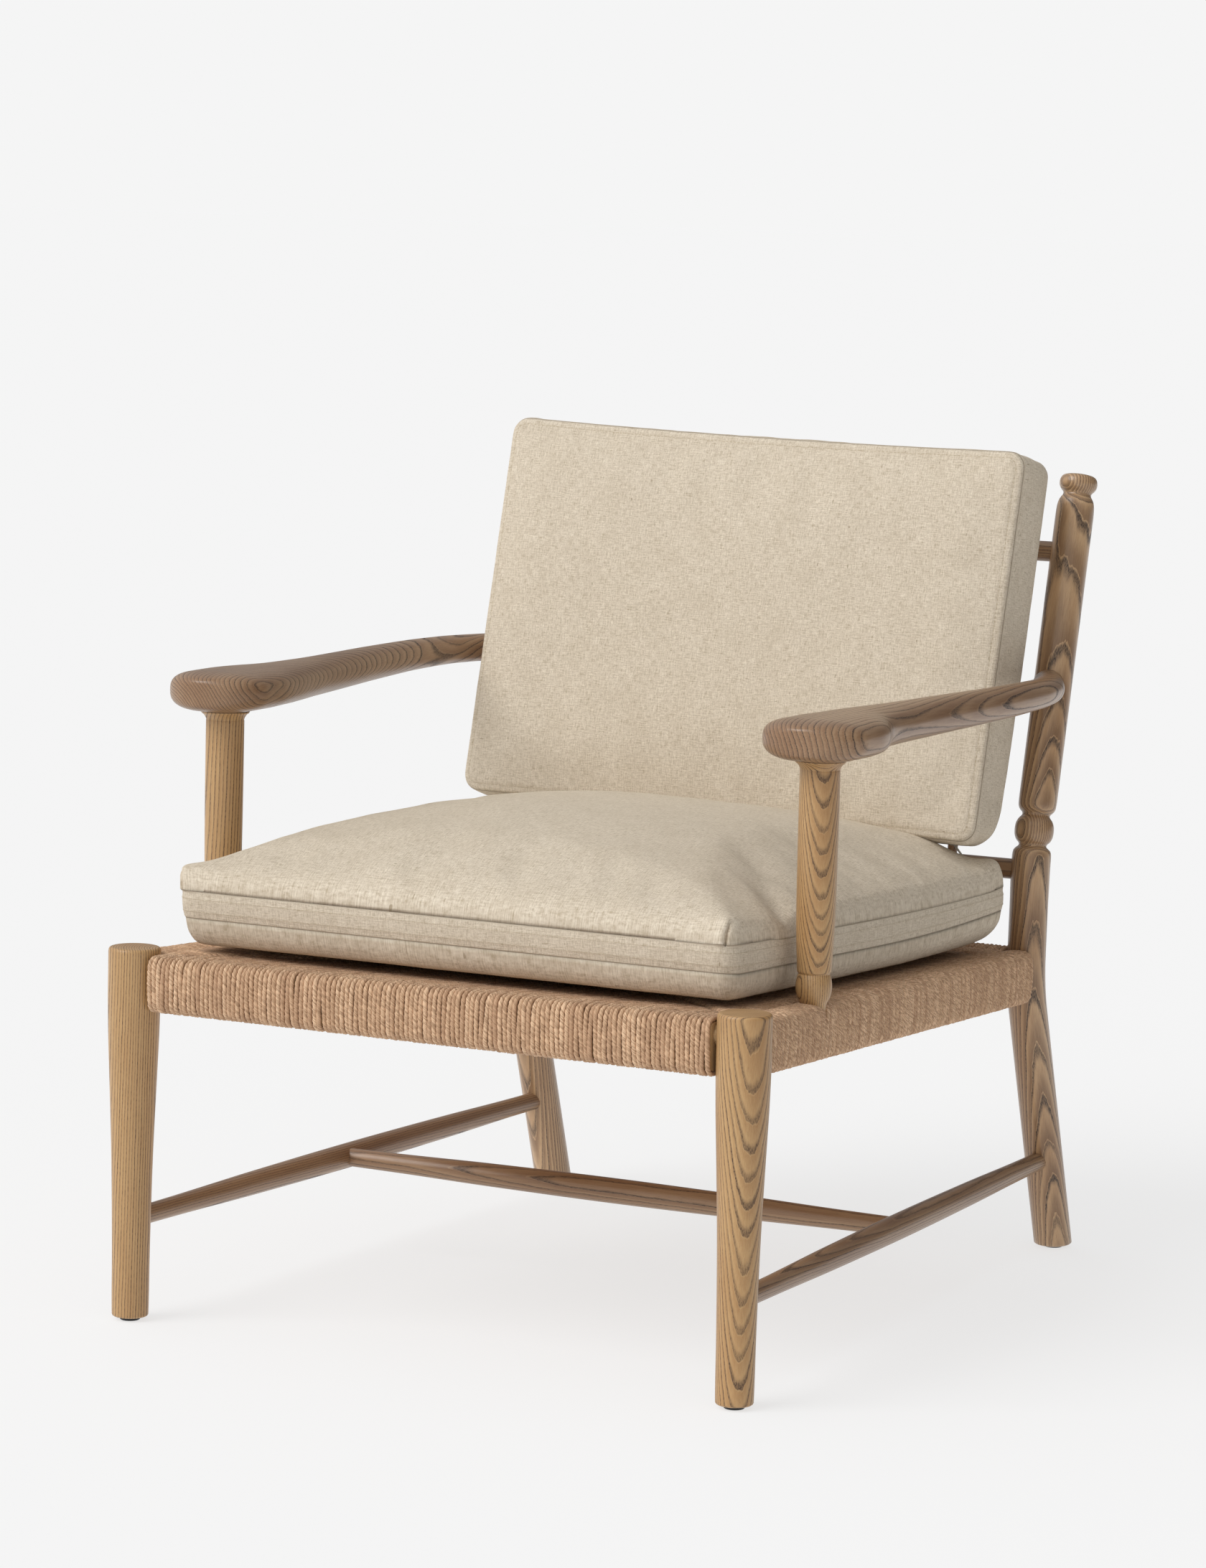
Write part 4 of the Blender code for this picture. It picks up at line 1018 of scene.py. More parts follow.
def swell(cushion, name, pressure, cap, stiffness, floor_z=None, frames=18, voxel=0.0085, pin=0.010):
    """Fills the cushion: a cloth simulation of its cover under pressure from
    inside, held at the seams. What the cloth does is carried to the cover."""
    from mathutils import kdtree

    scene = bpy.context.scene
    p0 = cushion.verts.copy()
    mesh = bpy.data.meshes.new(name + "_cloth")
    mesh.from_pydata(p0.tolist(), [], cushion.quads.tolist())
    obj = bpy.data.objects.new(name + "_cloth", mesh)
    scene.collection.objects.link(obj)
    remesh = obj.modifiers.new("remesh", "REMESH")
    remesh.mode = "VOXEL"
    remesh.voxel_size = voxel
    dg = bpy.context.evaluated_depsgraph_get()
    coarse = bpy.data.meshes.new_from_object(obj.evaluated_get(dg))
    obj.modifiers.clear()
    obj.data = coarse
    start = np.empty(len(coarse.vertices) * 3)
    coarse.vertices.foreach_get("co", start)
    start = start.reshape(-1, 3)
    tree = kdtree.KDTree(len(p0))
    for i, p in enumerate(p0):
        tree.insert(p, i)
    tree.balance()
    group = obj.vertex_groups.new(name="pin")
    for i, p in enumerate(start):
        _, k, _ = tree.find(p)
        near = cushion.to_seam[k]
        weight = 1.0 - min(1.0, near / pin)
        if cushion.part[k] == 1 and cushion.deep < 0.03:
            weight = 1.0
        if floor_z is not None and cushion.part[k] == 2:
            weight = max(weight, 0.85)
        if weight > 0.02:
            group.add([i], weight, "REPLACE")
    cloth = obj.modifiers.new("cloth", "CLOTH")
    s = cloth.settings
    s.quality = 4
    s.mass = 0.25
    s.tension_stiffness = s.compression_stiffness = stiffness
    s.shear_stiffness = stiffness * 0.4
    s.bending_stiffness = 0.6
    s.use_pressure = True
    s.uniform_pressure_force = pressure
    s.vertex_group_mass = "pin"
    s.pin_stiffness = 3.0
    s.shrink_min = -0.006
    s.effector_weights.gravity = 0.0
    cloth.collision_settings.use_self_collision = False
    cloth.collision_settings.use_collision = False
    cloth.point_cache.frame_start = 1
    cloth.point_cache.frame_end = frames
    for k in range(1, frames + 1):
        scene.frame_set(k)
    dg = bpy.context.evaluated_depsgraph_get()
    done = obj.evaluated_get(dg).to_mesh()
    end = np.empty(len(done.vertices) * 3)
    done.vertices.foreach_get("co", end)
    moved = end.reshape(-1, 3) - start
    scene.frame_set(1)
    size = np.linalg.norm(moved, axis=1)
    print(name, "cloth points", len(start), "mean move mm", size.mean() * 1000, "max", size.max() * 1000)
    moved *= np.minimum(1.0, cap / np.maximum(size, 1e-9))[:, None]
    bpy.data.objects.remove(obj, do_unlink=True)
    tree = kdtree.KDTree(len(start))
    for i, p in enumerate(start):
        tree.insert(p, i)
    tree.balance()
    shift = np.zeros_like(p0)
    for i, p in enumerate(p0):
        total, sum_w = np.zeros(3), 0.0
        for _, k, d in tree.find_n(p, 8):
            w = math.exp(-((d / (voxel * 0.9)) ** 2)) + 1e-9
            total += moved[k] * w
            sum_w += w
        shift[i] = total / sum_w
    cushion.verts = p0 + shift


def stitches(name, points, body, length=0.0030, gap=0.0014, radius=0.00028, lift=0.0001, normals=None):
    """Thread along a row of points: short rods, each sunk at both ends."""
    p = np.asarray(points, float)
    nrm = np.asarray(normals, float)
    p = np.concatenate([p, p[:1]])
    nrm = np.concatenate([nrm, nrm[:1]])
    run = np.concatenate([[0], np.cumsum(np.linalg.norm(np.diff(p, axis=0), axis=1))])
    total = run[-1]
    count = int(total / (length + gap))
    sides, cuts = 6, 5
    verts, quads, base = [], [], 0
    start = np.arange(count) * total / count
    f = np.linspace(0, 1, cuts)
    at = start[:, None] + f[None, :] * length
    pos = np.stack([np.interp(at % total, run, p[:, k]) for k in range(3)], -1)
    nn = np.stack([np.interp(at % total, run, nrm[:, k]) for k in range(3)], -1)
    nn /= np.linalg.norm(nn, axis=-1)[..., None]
    rise = (np.sin(np.pi * f) ** 0.6 * (radius * 1.2) + lift - radius * 0.8)[None, :, None]
    pos = pos + nn * rise
    tan = np.gradient(pos, axis=1)
    tan /= np.linalg.norm(tan, axis=-1)[..., None]
    side = np.cross(tan, nn)
    side /= np.linalg.norm(side, axis=-1)[..., None]
    t = np.linspace(0, 2 * math.pi, sides, endpoint=False)
    shape = np.array([0.35, 0.9, 1.0, 0.9, 0.35])[None, :, None, None] * radius
    rings = pos[:, :, None, :] + shape * (
        np.cos(t)[None, None, :, None] * side[:, :, None, :] + np.sin(t)[None, None, :, None] * nn[:, :, None, :]
    )
    one = skin(cuts, sides)
    k = np.arange(count)[:, None, None] * (cuts * sides)
    quads = (one[None] + k).reshape(-1, 4)
    hexes = []
    for b, flip in ((0, True), ((cuts - 1) * sides, False)):
        h = np.arange(sides)[None, :] + b + np.arange(count)[:, None] * cuts * sides
        hexes.append(h[:, ::-1] if flip else h)
    return rings.reshape(-1, 3), quads, np.concatenate(hexes)


def finish_cushion(cushion, name, place, turn, body, cover_nodes, seams=()):
    world = cushion.verts @ np.array(turn).T + np.array(place)
    obj = make(
        name,
        world,
        [cushion.quads],
        body,
        {"weave": cushion.weave, "seam": cushion.seam},
        [LINEN],
        sharp=0,
    )
    sub = obj.modifiers.new("smooth", "SUBSURF")
    sub.levels = sub.render_levels = 1
    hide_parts(*cover_nodes)
    nrm = cushion.normals() @ np.array(turn).T
    all_v, all_q, all_h, base = [], [], [], 0
    for ids in seams:
        v, q, h = stitches(name, world[ids], body, normals=nrm[ids])
        all_v.append(v)
        all_q.append(q + base)
        all_h.append(h + base)
        base += len(v)
    if all_v:
        thread = make(
            name + "_stitches", np.concatenate(all_v), [np.concatenate(all_q), np.concatenate(all_h)], body, None, [THREAD], sharp=0
        )
    return obj


# seat cushion: its own frame lies on the cord, tilted with the seat
SLOPE = math.atan((RAIL_Z_REAR - RAIL_Z_FRONT) / REAR_RAIL_Y)
seat_turn = Matrix.Rotation(SLOPE, 3, "X")
seat_mid_y = 0.3515
seat_place = np.array((-0.0058, seat_mid_y, side_rail_point(seat_mid_y, 1)[2] + WRAP_HALF[1] + 0.0006))


def seat_top(fx, fy, d):
    aft = np.clip(fy, 0, 1) ** 1.5
    reach = 0.030 + 0.016 * aft * np.clip((np.abs(fx) - 0.55) / 0.3, 0, 1)
    wall = (0.027 + 0.0055 * aft) * np.sqrt(1 - (1 - np.clip(d / reach, 0, 1)) ** 2)
    dome = 0.055 * (1 - np.abs(fx) ** 2.4) ** 0.85 * (1 - np.abs(fy) ** 2.4) ** 0.85
    return wall + dome


def seat_low(fx, fy, d):
    rear = np.clip(fy, 0, 1) ** 2
    reach = 0.015 + 0.030 * rear
    round_off = np.sqrt(1 - (1 - np.clip(d / reach, 0, 1)) ** 2)
    settle = np.clip((d - 0.5 * reach) / 0.075, 0, 1)
    return (0.0262 + 0.0125 * rear) * round_off + 0.0044 * settle * settle * (3 - 2 * settle)


band = [(0, 0), (0.04, 0.0002), (0.10, 0.0004), (0.18, 0.0007), (0.235, 0.0009), (0.27, 0.0010)]
band += [(0.305, 0.0011), (0.36, 0.0012), (0.5, 0.0014), (0.64, 0.0013), (0.695, 0.0012)]
band += [(0.73, 0.0011), (0.765, 0.0010), (0.82, 0.0008), (0.90, 0.0005), (0.96, 0.0002), (1, 0.0)]
sc = Cushion(0.2948, 0.3170, 0.020, 0.0580, 0.0315, seat_top, seat_low, band, stitch=0.0072)
# the foot of the cushion steps back from its front seam
v = sc.verts
low = np.clip((0.058 - v[:, 2]) / 0.058, 0, 1)
back = np.clip((0.5 - v[:, 1] / 0.636), 0, 1)
v[:, 1] += 0.012 * low * back
# towards the rear the band climbs and narrows
rear = np.clip(v[:, 1] / 0.317, 0, 1) ** 2
v[:, 2] += rear * np.where(sc.part == 0, 0.0070, np.where(sc.part == 2, 0.0125, 0.0070 + 0.0055 * np.clip((0.058 - v[:, 2]) / 0.0265, 0, 1)))
swell(sc, "seat", 1.6, 0.008, 14.0, floor_z=0.0)
v = sc.verts
p = v.copy()
soft = wave(p, 9.0, 1.0) * 0.0018 + wave(p, 22.0, 2.0) * 0.0007
# the front corners stand out a little over the seam
corner = np.exp(-((np.hypot(np.abs(p[:, 0]) - 0.2948, p[:, 1] + 0.317) / 0.034) ** 2))
corner = corner * (sc.part == 0) * np.exp(-(((sc.to_seam - 0.009) / 0.008) ** 2))
sc.verts[:, 0] += np.sign(p[:, 0]) * np.where(p[:, 0] < 0, 0.0120, 0.0050) * corner
sc.verts[:, 1] -= 0.0045 * corner
sc.verts[:, 2] += 0.0030 * corner
# and so do the rear ones, upwards
corner = np.exp(-((np.hypot(np.abs(p[:, 0]) - 0.2948, p[:, 1] - 0.317) / 0.030) ** 2))
corner = corner * (sc.part == 0) * np.exp(-(((sc.to_seam - 0.011) / 0.010) ** 2))
sc.verts[:, 0] += np.sign(p[:, 0]) * 0.0040 * corner
sc.verts[:, 2] += 0.0100 * corner
# the zip's pull lies in a shallow hollow
hx, hy = p[:, 0] + 0.0058 - 0.268, p[:, 1] + 0.3515 - 0.622
sc.verts[:, 2] -= 0.0062 * np.exp(-((hx / 0.017) ** 2) - ((hy / 0.026) ** 2)) * (sc.part == 0)
# a soft crease runs in from each arm support
for sx in (1, -1):
    ax, ay, bx, by = sx * 0.288, 0.150 - 0.3515, sx * 0.205, 0.245 - 0.3515
    ux, uy = bx - ax, by - ay
    span = math.hypot(ux, uy)
    t = ((p[:, 0] - ax) * ux + (p[:, 1] - ay) * uy) / span**2
    off = ((p[:, 0] - ax) * -uy + (p[:, 1] - ay) * ux) / span
    fold = np.exp(-((off / 0.016) ** 2)) * np.clip(1.1 - np.clip(t, 0, 2), 0, 1) * np.clip((t + 0.25) / 0.3, 0, 1)
    sc.verts[:, 2] -= 0.0100 * fold * (sc.part == 0)
panel = (sc.part == 0) * np.clip(sc.to_seam / 0.03, 0, 1) + (sc.part == 1) * 0.35
near = np.exp(-((sc.to_seam / 0.016) ** 2)) * (sc.part != 1) * np.clip(sc.to_seam / 0.007, 0, 1)
pucker = wave(p, 75.0, 3.0) * 0.0004 * near + wave(p, 30.0, 4.0) * 0.0007 * near
sc.push(soft * panel + pucker)
dist = np.where(sc.part == 1, sc.to_seam, sc.to_seam)
cut = groove(dist, 0.0011, 0.00035)
stitch_t = np.full(len(sc.verts), 1.0)
for k, (t, _) in enumerate(sc.band):
    if 0 < k < len(sc.band) - 1:
        stitch_t[sc.rows[k]] = min(abs(t - 0.27), abs(t - 0.73)) * sc.deep
cut += groove(stitch_t, 0.0010, 0.00025)
# darts: a fold stitched into the top panel beside each front corner
top = sc.part == 0
dart = np.zeros(len(sc.verts))
gx, gy = sc.fx.ravel() * 0.2948, sc.fy.ravel() * 0.3170
across, along = 0.2948 - np.abs(gx), gy + 0.3170
fade = np.clip(1 - along / 0.017, 0, 1) ** 0.5
fold = -0.0045 * np.exp(-(((across - 0.0072) / 0.0013) ** 2)) + 0.0016 * np.exp(-(((across - 0.0125) / 0.0040) ** 2))
dart[: sc.count] = fold * fade
sc.push(cut + dart)
# painted shade: the cover is darkened in the deepest part of each dart and along the seam and stitch grooves
sc.seam = np.clip(0.9 * (dart < -0.0026) + 0.85 * np.exp(-((dist / 0.0008) ** 2)) + 0.35 * np.exp(-((stitch_t / 0.0008) ** 2)), 0, 1)
# it rests flat on the cord
sc.verts[:, 2] = np.maximum(sc.verts[:, 2], 0.0004)
rows = [sc.rows[k] for k, (t, _) in enumerate(sc.band) if abs(t - 0.27) < 1e-6 or abs(t - 0.73) < 1e-6]
finish_cushion(
    sc, "seat_cushion", seat_place, seat_turn, "seat_cushion",
    ["seat_cushion_cover", "seat_cushion_core"], seams=rows,
)

# back cushion: z through its thickness with the front up, y up the back
RECLINE = math.radians(12.6)
back_up = np.array((0, math.sin(RECLINE), math.cos(RECLINE)))
back_out = np.array((0, -math.cos(RECLINE), math.sin(RECLINE)))
HALF_H = 0.1978
back_place = np.array((0.0, 0.6465, 0.4385)) + back_up * HALF_H
back_turn = np.stack([(1.0, 0, 0), back_up, back_out], 1)
roll = math.radians(-0.92)
spin = np.array([[math.cos(roll), -math.sin(roll), 0], [math.sin(roll), math.cos(roll), 0], [0, 0, 1]])
back_turn = back_turn @ spin
back_place[0] -= 0.0100


def back_front(fx, fy, d):
    wall = 0.0065 * np.sqrt(1 - (1 - np.clip(d / 0.014, 0, 1)) ** 2)
    return wall + 0.0095 * (1 - np.abs(fx) ** 2.6) ** 0.8 * (1 - np.abs(fy) ** 2.6) ** 0.8


def back_rear(fx, fy, d):
    wall = 0.008 * np.sqrt(1 - (1 - np.clip(d / 0.016, 0, 1)) ** 2)
    return wall + 0.021 * (1 - np.abs(fx) ** 2.4) ** 0.8 * (1 - np.abs(fy) ** 2.4) ** 0.8


band = [(0, 0), (0.015, 0.0002), (0.032, 0.0004), (0.055, 0.0007), (0.085, 0.0010), (0.13, 0.0014)]
band += [(t, 0.0014 + 0.0010 * math.sin(math.pi * (t - 0.13) / 0.74)) for t in np.linspace(0.2, 0.8, 15)]
band += [(0.87, 0.0014), (0.915, 0.0010), (0.945, 0.0007), (0.968, 0.0004), (0.985, 0.0002), (1, 0)]
bc = Cushion(0.2915, HALF_H, 0.018, 0.0430, -0.0200, back_front, back_rear, band, stitch=0.0072)
v = bc.verts
# the top edge sinks a little in the middle, and the foot is squashed thinner
v[:, 1] -= 0.0035 * np.clip(v[:, 1] / HALF_H, 0, 1) * np.clip(1 - (v[:, 0] / 0.28) ** 2, 0, 1)
v[:, 2] = np.where(v[:, 2] < 0.0, v[:, 2] * (1 - 0.28 * np.clip(-v[:, 1] / HALF_H, 0, 1)), v[:, 2])
swell(bc, "back", 1.4, 0.006, 14.0)
v = bc.verts
# the foot's corners are soft: the rear of the cushion rounds in at both ends
foot = np.clip((-v[:, 1] / HALF_H - 0.78) / 0.22, 0, 1) ** 2 * np.clip((0.043 - v[:, 2]) / 0.063, 0, 1)
v[:, 0] -= np.sign(v[:, 0]) * 0.0120 * foot * (np.abs(v[:, 0]) > 0.2)
lift = np.clip((np.abs(v[:, 0]) - 0.245) / 0.045, 0, 1) ** 2 * (v[:, 1] < -0.15)
v[:, 1] += 0.0035 * lift * np.clip((0.043 - v[:, 2]) / 0.063, 0, 1)
p = v.copy()
soft = wave(p, 8.0, 11.0) * 0.0020 + wave(p, 20.0, 12.0) * 0.0011
panel = (bc.part != 1) * np.clip(bc.to_seam / 0.03, 0, 1) + (bc.part == 1) * np.clip(bc.to_seam / 0.02, 0, 1) * 1.3
near = np.exp(-((bc.to_seam / 0.014) ** 2)) * np.clip(bc.to_seam / 0.007, 0, 1)
pucker = wave(p, 80.0, 13.0) * 0.0005 * near + wave(p, 30.0, 14.0) * 0.0010 * near
bc.push(soft * panel + pucker)
# the side band is slack: shallow folds run across it, deepest near the foot
side = (bc.part == 1) * (np.abs(p[:, 0]) > 0.27) * np.clip(bc.to_seam / 0.012, 0, 1)
folds = wave(np.column_stack([p[:, 0] * 0.2, p[:, 1] + 0.35 * p[:, 2], p[:, 2] * 0.25]), 26.0, 21.0)
bc.push(side * folds * 0.0042)
v = bc.verts
nick = np.exp(-(((v[:, 1] + 0.150 + 0.3 * v[:, 2]) / 0.007) ** 2)) * side * np.clip((0.02 - v[:, 2]) / 0.04, 0, 1)
v[:, 0] -= np.sign(v[:, 0]) * 0.0065 * nick
# the zip lies in a shallow channel along the bottom band
bottom = (bc.part == 1) * (p[:, 1] < -0.185)
ends = np.clip((0.268 - np.abs(p[:, 0])) / 0.02, 0, 1)
v[:, 1] += 0.0062 * bottom * ends * np.exp(-(((p[:, 2] - 0.0) / 0.013) ** 2))
dist = bc.to_seam
cut = groove(dist, 0.0011, 0.0006)
stitch_d = np.where(bc.part == 1, 1.0, np.abs(bc.to_seam - 0.0072))
cut += groove(stitch_d, 0.0012, 0.0007)
bc.push(cut)
# painted shade: the cover is darkened along the seam and stitch grooves
bc.seam = np.clip(0.8 * np.exp(-((dist / 0.0009) ** 2)) + 0.5 * np.exp(-((stitch_d / 0.0008) ** 2)), 0, 1)
i = int(np.argmin(np.abs(edge_steps(0.2915, 0.0072) + 0.2915 - 0.0072)))
index = np.arange(bc.nx * bc.ny).reshape(bc.ny, bc.nx)[i : bc.ny - i, i : bc.nx - i]
ring = np.concatenate([index[0, :-1], index[:-1, -1], index[-1, :0:-1], index[:0:-1, 0]])
finish_cushion(
    bc, "back_cushion", back_place, back_turn, "back_cushion",
    ["back_cushion_cover", "back_cushion_core"], seams=[ring, ring + bc.low_base],
)


# ------------------------------------------------------------------ zips
def metal():
    n = Nodes("zip metal")
    coord = n.add("ShaderNodeTexCoord").outputs["Object"]
    scratch = n.noise(n.scaled(coord, (900, 5200, 5200)), 1.0, 2.0)
    n.set(
        Base_Color=n.mix(scratch, srgb(228, 224, 212), srgb(204, 199, 186)),
        Metallic=0.4,
        Roughness=n.remap(scratch, 0.2, 0.8, 0.24, 0.42),
        Normal=n.bump(scratch, 0.15, 0.00008),
    )
    return n.mat


METAL = metal()


def box_mesh(lo, hi, bevel=0.0003):
    """Corners of a box with its edges taken off, for small fittings."""
    lo, hi = np.array(lo, float), np.array(hi, float)
    mid, half = (lo + hi) / 2, (hi - lo) / 2
    b = min(bevel, half.min() * 0.6)
    rings = []
    for z, inset in ((-half[2], b), (-half[2] + b, 0), (half[2] - b, 0), (half[2], b)):
        a, c = half[0] - inset, half[1] - inset
        r = min(max(b, inset * 0 + b), min(a, c) * 0.9)
        ring = []
        for q, (sx, sy) in enumerate(((1, 1), (-1, 1), (-1, -1), (1, -1))):
            for k in range(4):
                t = math.pi / 2 * (q + k / 3)
                ring.append((mid[0] + sx * (a - r) + r * math.cos(t), mid[1] + sy * (c - r) + r * math.sin(t), mid[2] + z))
        rings.append(ring)
    return np.array(rings)


def solid(rings, base=0):
    """Vertices and faces of a capped stack of rings."""
    count, sides = rings.shape[:2]
    low = np.arange(sides)[::-1][None, :] + base
    top = np.arange(sides)[None, :] + base + (count - 1) * sides
    return rings.reshape(-1, 3), skin(count, sides, base=base), np.concatenate([low, top])


def zipper(name, points, out, body, node, half_width=0.0030):
    """Teeth along a line on the cover."""
    points, out = np.asarray(points, float), np.asarray(out, float)
    run = np.concatenate([[0], np.cumsum(np.linalg.norm(np.diff(points, axis=0), axis=1))])
    verts, quads, caps, base = [], [], [], 0
    pitch = 0.0016
    n = int(run[-1] / pitch)
    for i in range(n):
        s = (i + 0.5) * run[-1] / n
        p = np.array([np.interp(s, run, points[:, k]) for k in range(3)])
        o = np.array([np.interp(s, run, out[:, k]) for k in range(3)])
        o /= np.linalg.norm(o)
        t = np.array([np.interp(min(s + 0.001, run[-1]), run, points[:, k]) for k in range(3)]) - p
        t /= np.linalg.norm(t) + 1e-12
        w = np.cross(o, t)
        rings = box_mesh((-0.00052, -0.0019 if i % 2 else -0.0013, -0.0002), (0.00052, 0.0013 if i % 2 else 0.0019, 0.0007), 0.0002)
        rings = p + rings[..., :1] * t + rings[..., 1:2] * w + rings[..., 2:] * o
        v, q, c = solid(rings, base)
        verts.append(v)
        quads.append(q)
        caps.append(c)
        base += len(v)
    obj = make(name, np.concatenate(verts), [np.concatenate(quads), np.concatenate(caps)], body, None, [METAL])
    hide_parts(node)
    return obj


def band_line(cushion, place, turn, keep, height, reach):
    """Points along one side of the band at a height, with their normals."""
    k = int(np.argmin([abs((cushion.verts[ids, 2][keep(cushion.verts[ids])].mean() if keep(cushion.verts[ids]).any() else 9) - height) for ids in cushion.rows[1:-1]])) + 1
    ids = cushion.rows[k]
    v = cushion.verts[ids]
    pick = keep(v) & (np.abs(v[:, 0]) < reach)
    order = np.argsort(v[pick][:, 0])
    nrm = cushion.normals()[ids][pick][order]
    pts = v[pick][order]
    turn = np.array(turn)
    return pts @ turn.T + np.array(place), nrm @ turn.T


pts, nrm = band_line(bc, back_place, back_turn, lambda v: v[:, 1] < -0.17, 0.0, 0.246)
zipper("back_zip_teeth", pts + nrm * 0.0015, nrm, "back_cushion", "back_cushion_zip")
pts, nrm = band_line(sc, seat_place, seat_turn, lambda v: v[:, 1] > 0.29, 0.050, 0.246)
zipper("seat_zip_teeth", pts + nrm * 0.0006, nrm, "seat_cushion", "seat_cushion_zip")

# slider and pull, where the CAD has them: x along the zip, y up the back
pull_at = np.array((0.238, 0.6465, 0.4385)) - back_up * 0.0003
axes = np.stack([(1.0, 0, 0), back_up, back_out], 1)


def fitting(name, parts, origin, turn, body, node):
    verts, quads, caps, base = [], [], [], 0
    for rings in parts:
        v, q, c = solid(np.asarray(rings), base)
        verts.append(v)
        quads.append(q)
        caps.append(c)
        base += len(v)
    world = np.concatenate(verts) @ turn.T + origin
    obj = make(name, world, [np.concatenate(quads), np.concatenate(caps)], body, None, [METAL], sharp=35)
    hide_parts(node)
    return obj


def swap(rings, order):
    return rings[..., order]


body_rings = box_mesh((-0.0045, -0.0032, -0.0022), (0.0045, 0.0032, 0.0), 0.0006)
body_rings = swap(body_rings, [0, 2, 1])[:, ::-1]
bail = [box_mesh((-0.0036, -0.0008, -0.0048), (-0.0026, 0.0008, -0.0016), 0.0002)]
bail += [box_mesh((0.0026, -0.0008, -0.0048), (0.0036, 0.0008, -0.0016), 0.0002)]
bail += [box_mesh((-0.0036, -0.0008, -0.0048), (0.0036, 0.0008, -0.0040), 0.0002)]
bail = [swap(b, [0, 2, 1])[:, ::-1] for b in bail]
fitting("zip_slider_body", [body_rings] + bail, pull_at, axes, "zip_slider", "zip_slider")

swing = math.radians(44)
hinge = pull_at - back_up * 0.0031
tilt = axes @ np.array([[math.cos(swing), -math.sin(swing), 0], [math.sin(swing), math.cos(swing), 0], [0, 0, 1]])
tag = []
for lo, hi in (
    ((-0.00045, -0.0062, -0.0026), (0.00045, 0.00045, -0.0013)),
    ((-0.00045, -0.0062, 0.0013), (0.00045, 0.00045, 0.0026)),
    ((-0.00045, -0.00045, -0.0026), (0.00045, 0.00045, 0.0026)),
    ((-0.00045, -0.0230, -0.0026), (0.00045, -0.0060, 0.0026)),
):
    tag.append(swap(box_mesh((lo[1], lo[2], lo[0]), (hi[1], hi[2], hi[0]), 0.0002), [2, 0, 1]))
fitting("zip_pull_tag", tag, hinge, tilt, "zip_pull", "zip_pull")


# ------------------------------------------------------------------ small parts
def moulded():
    n = Nodes("glide nylon")
    coord = n.add("ShaderNodeTexCoord").outputs["Object"]
    grain = n.noise(n.scaled(coord, (2600, 2600, 2600)), 1.0, 2.0)
    n.set(
        Base_Color=n.mix(grain, srgb(26, 26, 27), srgb(44, 43, 42)),
        Roughness=n.remap(grain, 0.2, 0.8, 0.38, 0.55),
        Normal=n.bump(grain, 0.2, 0.0001),
    )
    return n.mat


BLACK = moulded()
GLIDE = [(0.0, 0.0086), (0.0003, 0.0092), (0.0009, 0.0096), (0.0018, 0.0097), (0.0030, 0.0097)]
GLIDE += [(0.0035, 0.0095), (0.0037, 0.0088)]
places = [(s * LEG_X, 0.0, f"front_{side}") for s, side in SIDES]
places += [(s * POST_X, post_axis(0.0)[0], f"rear_{side}") for s, side in SIDES]
for x, y, name in places:
    lathe(
        f"foot_{name}", GLIDE, (x, y), "frame", [BLACK], (0, 0, 0, 0.003, 0), sides=48,
        replaces=f"glide_{name}",
    )
for name in ("front", "rear", "left", "right"):
    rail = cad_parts[f"seat_rail_{name}"]
    rail.data.materials.clear()
    rail.data.materials.append(RAW)

# ------------------------------------------------------------------ stage
def stage_material():
    n = Nodes("studio floor")
    n.set(Base_Color=(0.80, 0.80, 0.80), Roughness=0.9, Specular_IOR_Level=0.0)
    n.shader.inputs["Emission Color"].default_value = (1, 1, 1, 1)
    n.shader.inputs["Emission Strength"].default_value = FLOOR_GLOW
    n.shader.inputs["Base Color"].default_value = (FLOOR_ALBEDO,) * 3 + (1,)
    return n.mat


BACKDROP = 0.913
FLOOR_GLOW, FLOOR_ALBEDO = 0.693, 0.24
SUN = 1.55
SUN_DIR = Vector((-0.46, -0.70, 0.74)).normalized()

v = np.array([(-60, -60, 0), (60, -60, 0), (60, 60, 0), (-60, 60, 0)], float)
floor = make("studio_floor", v, [np.array([[0, 1, 2, 3]])], None, None, [stage_material()], smooth=False)

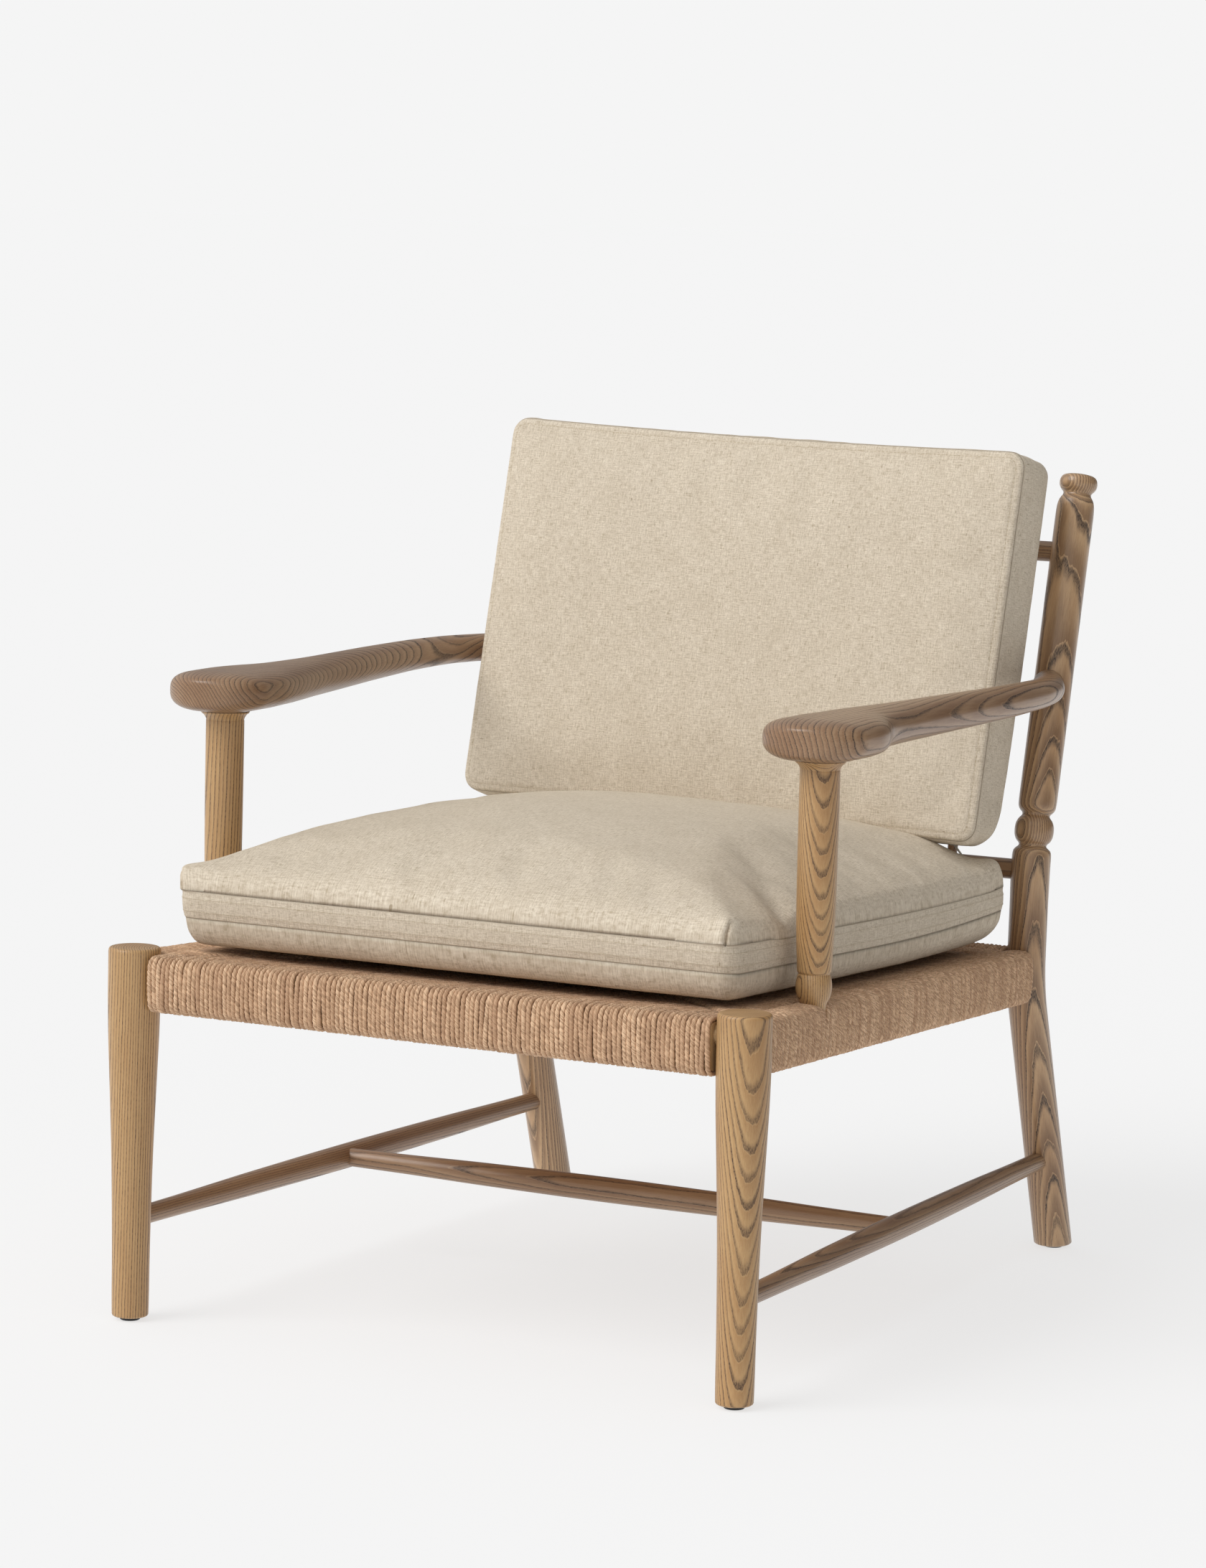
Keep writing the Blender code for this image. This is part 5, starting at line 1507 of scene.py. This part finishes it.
world = bpy.data.worlds.new("studio")
bpy.context.scene.world = world
world.use_nodes = True
tree = world.node_tree
back = tree.nodes["Background"]
back.inputs["Color"].default_value = (1, 1, 1, 1)
back.inputs["Strength"].default_value = BACKDROP
# the room: bright in front, to the sitter's right and above, dimmer elsewhere
coord = tree.nodes.new("ShaderNodeTexCoord")
dot = tree.nodes.new("ShaderNodeVectorMath")
dot.operation = "DOT_PRODUCT"
tree.links.new(coord.outputs["Generated"], dot.inputs[0])
dot.inputs[1].default_value = Vector((-0.58, -0.68, 0.46)).normalized()
ramp = tree.nodes.new("ShaderNodeMapRange")
ramp.interpolation_type = "SMOOTHSTEP"
tree.links.new(dot.outputs["Value"], ramp.inputs["Value"])
for key, value in (("From Min", -0.9), ("From Max", 0.95), ("To Min", 0.13), ("To Max", 1.02)):
    ramp.inputs[key].default_value = value
room = tree.nodes.new("ShaderNodeBackground")
tree.links.new(ramp.outputs["Result"], room.inputs["Strength"])
path = tree.nodes.new("ShaderNodeLightPath")
choose = tree.nodes.new("ShaderNodeMixShader")
tree.links.new(path.outputs["Is Camera Ray"], choose.inputs[0])
tree.links.new(room.outputs[0], choose.inputs[1])
tree.links.new(back.outputs[0], choose.inputs[2])
tree.links.new(choose.outputs[0], tree.nodes["World Output"].inputs["Surface"])

sun = bpy.data.objects.new("key", bpy.data.lights.new("key", "SUN"))
sun.data.energy = SUN
sun.data.angle = math.radians(38)
sun.rotation_mode = "QUATERNION"
sun.rotation_quaternion = SUN_DIR.to_track_quat("Z", "Y")
bpy.context.scene.collection.objects.link(sun)

camera = bpy.data.objects.new("camera", bpy.data.cameras.new("camera"))
camera.data.lens = 119.24
camera.data.sensor_width = 36.0
camera.data.clip_end = 200.0
right = Vector((0.8867, 0.4617, 0.0242)).normalized()
ahead = Vector((-0.4557, 0.8817, -0.1222)).normalized()
up = right.cross(ahead).normalized()
right = ahead.cross(up).normalized()
camera.matrix_world = Matrix.Translation((2.3015, -4.1178 - OY, 1.1248)) @ Matrix(
    (right, up, -ahead)
).transposed().to_4x4()
bpy.context.scene.collection.objects.link(camera)
bpy.context.scene.camera = camera
bpy.context.scene.view_settings.view_transform = "Standard"
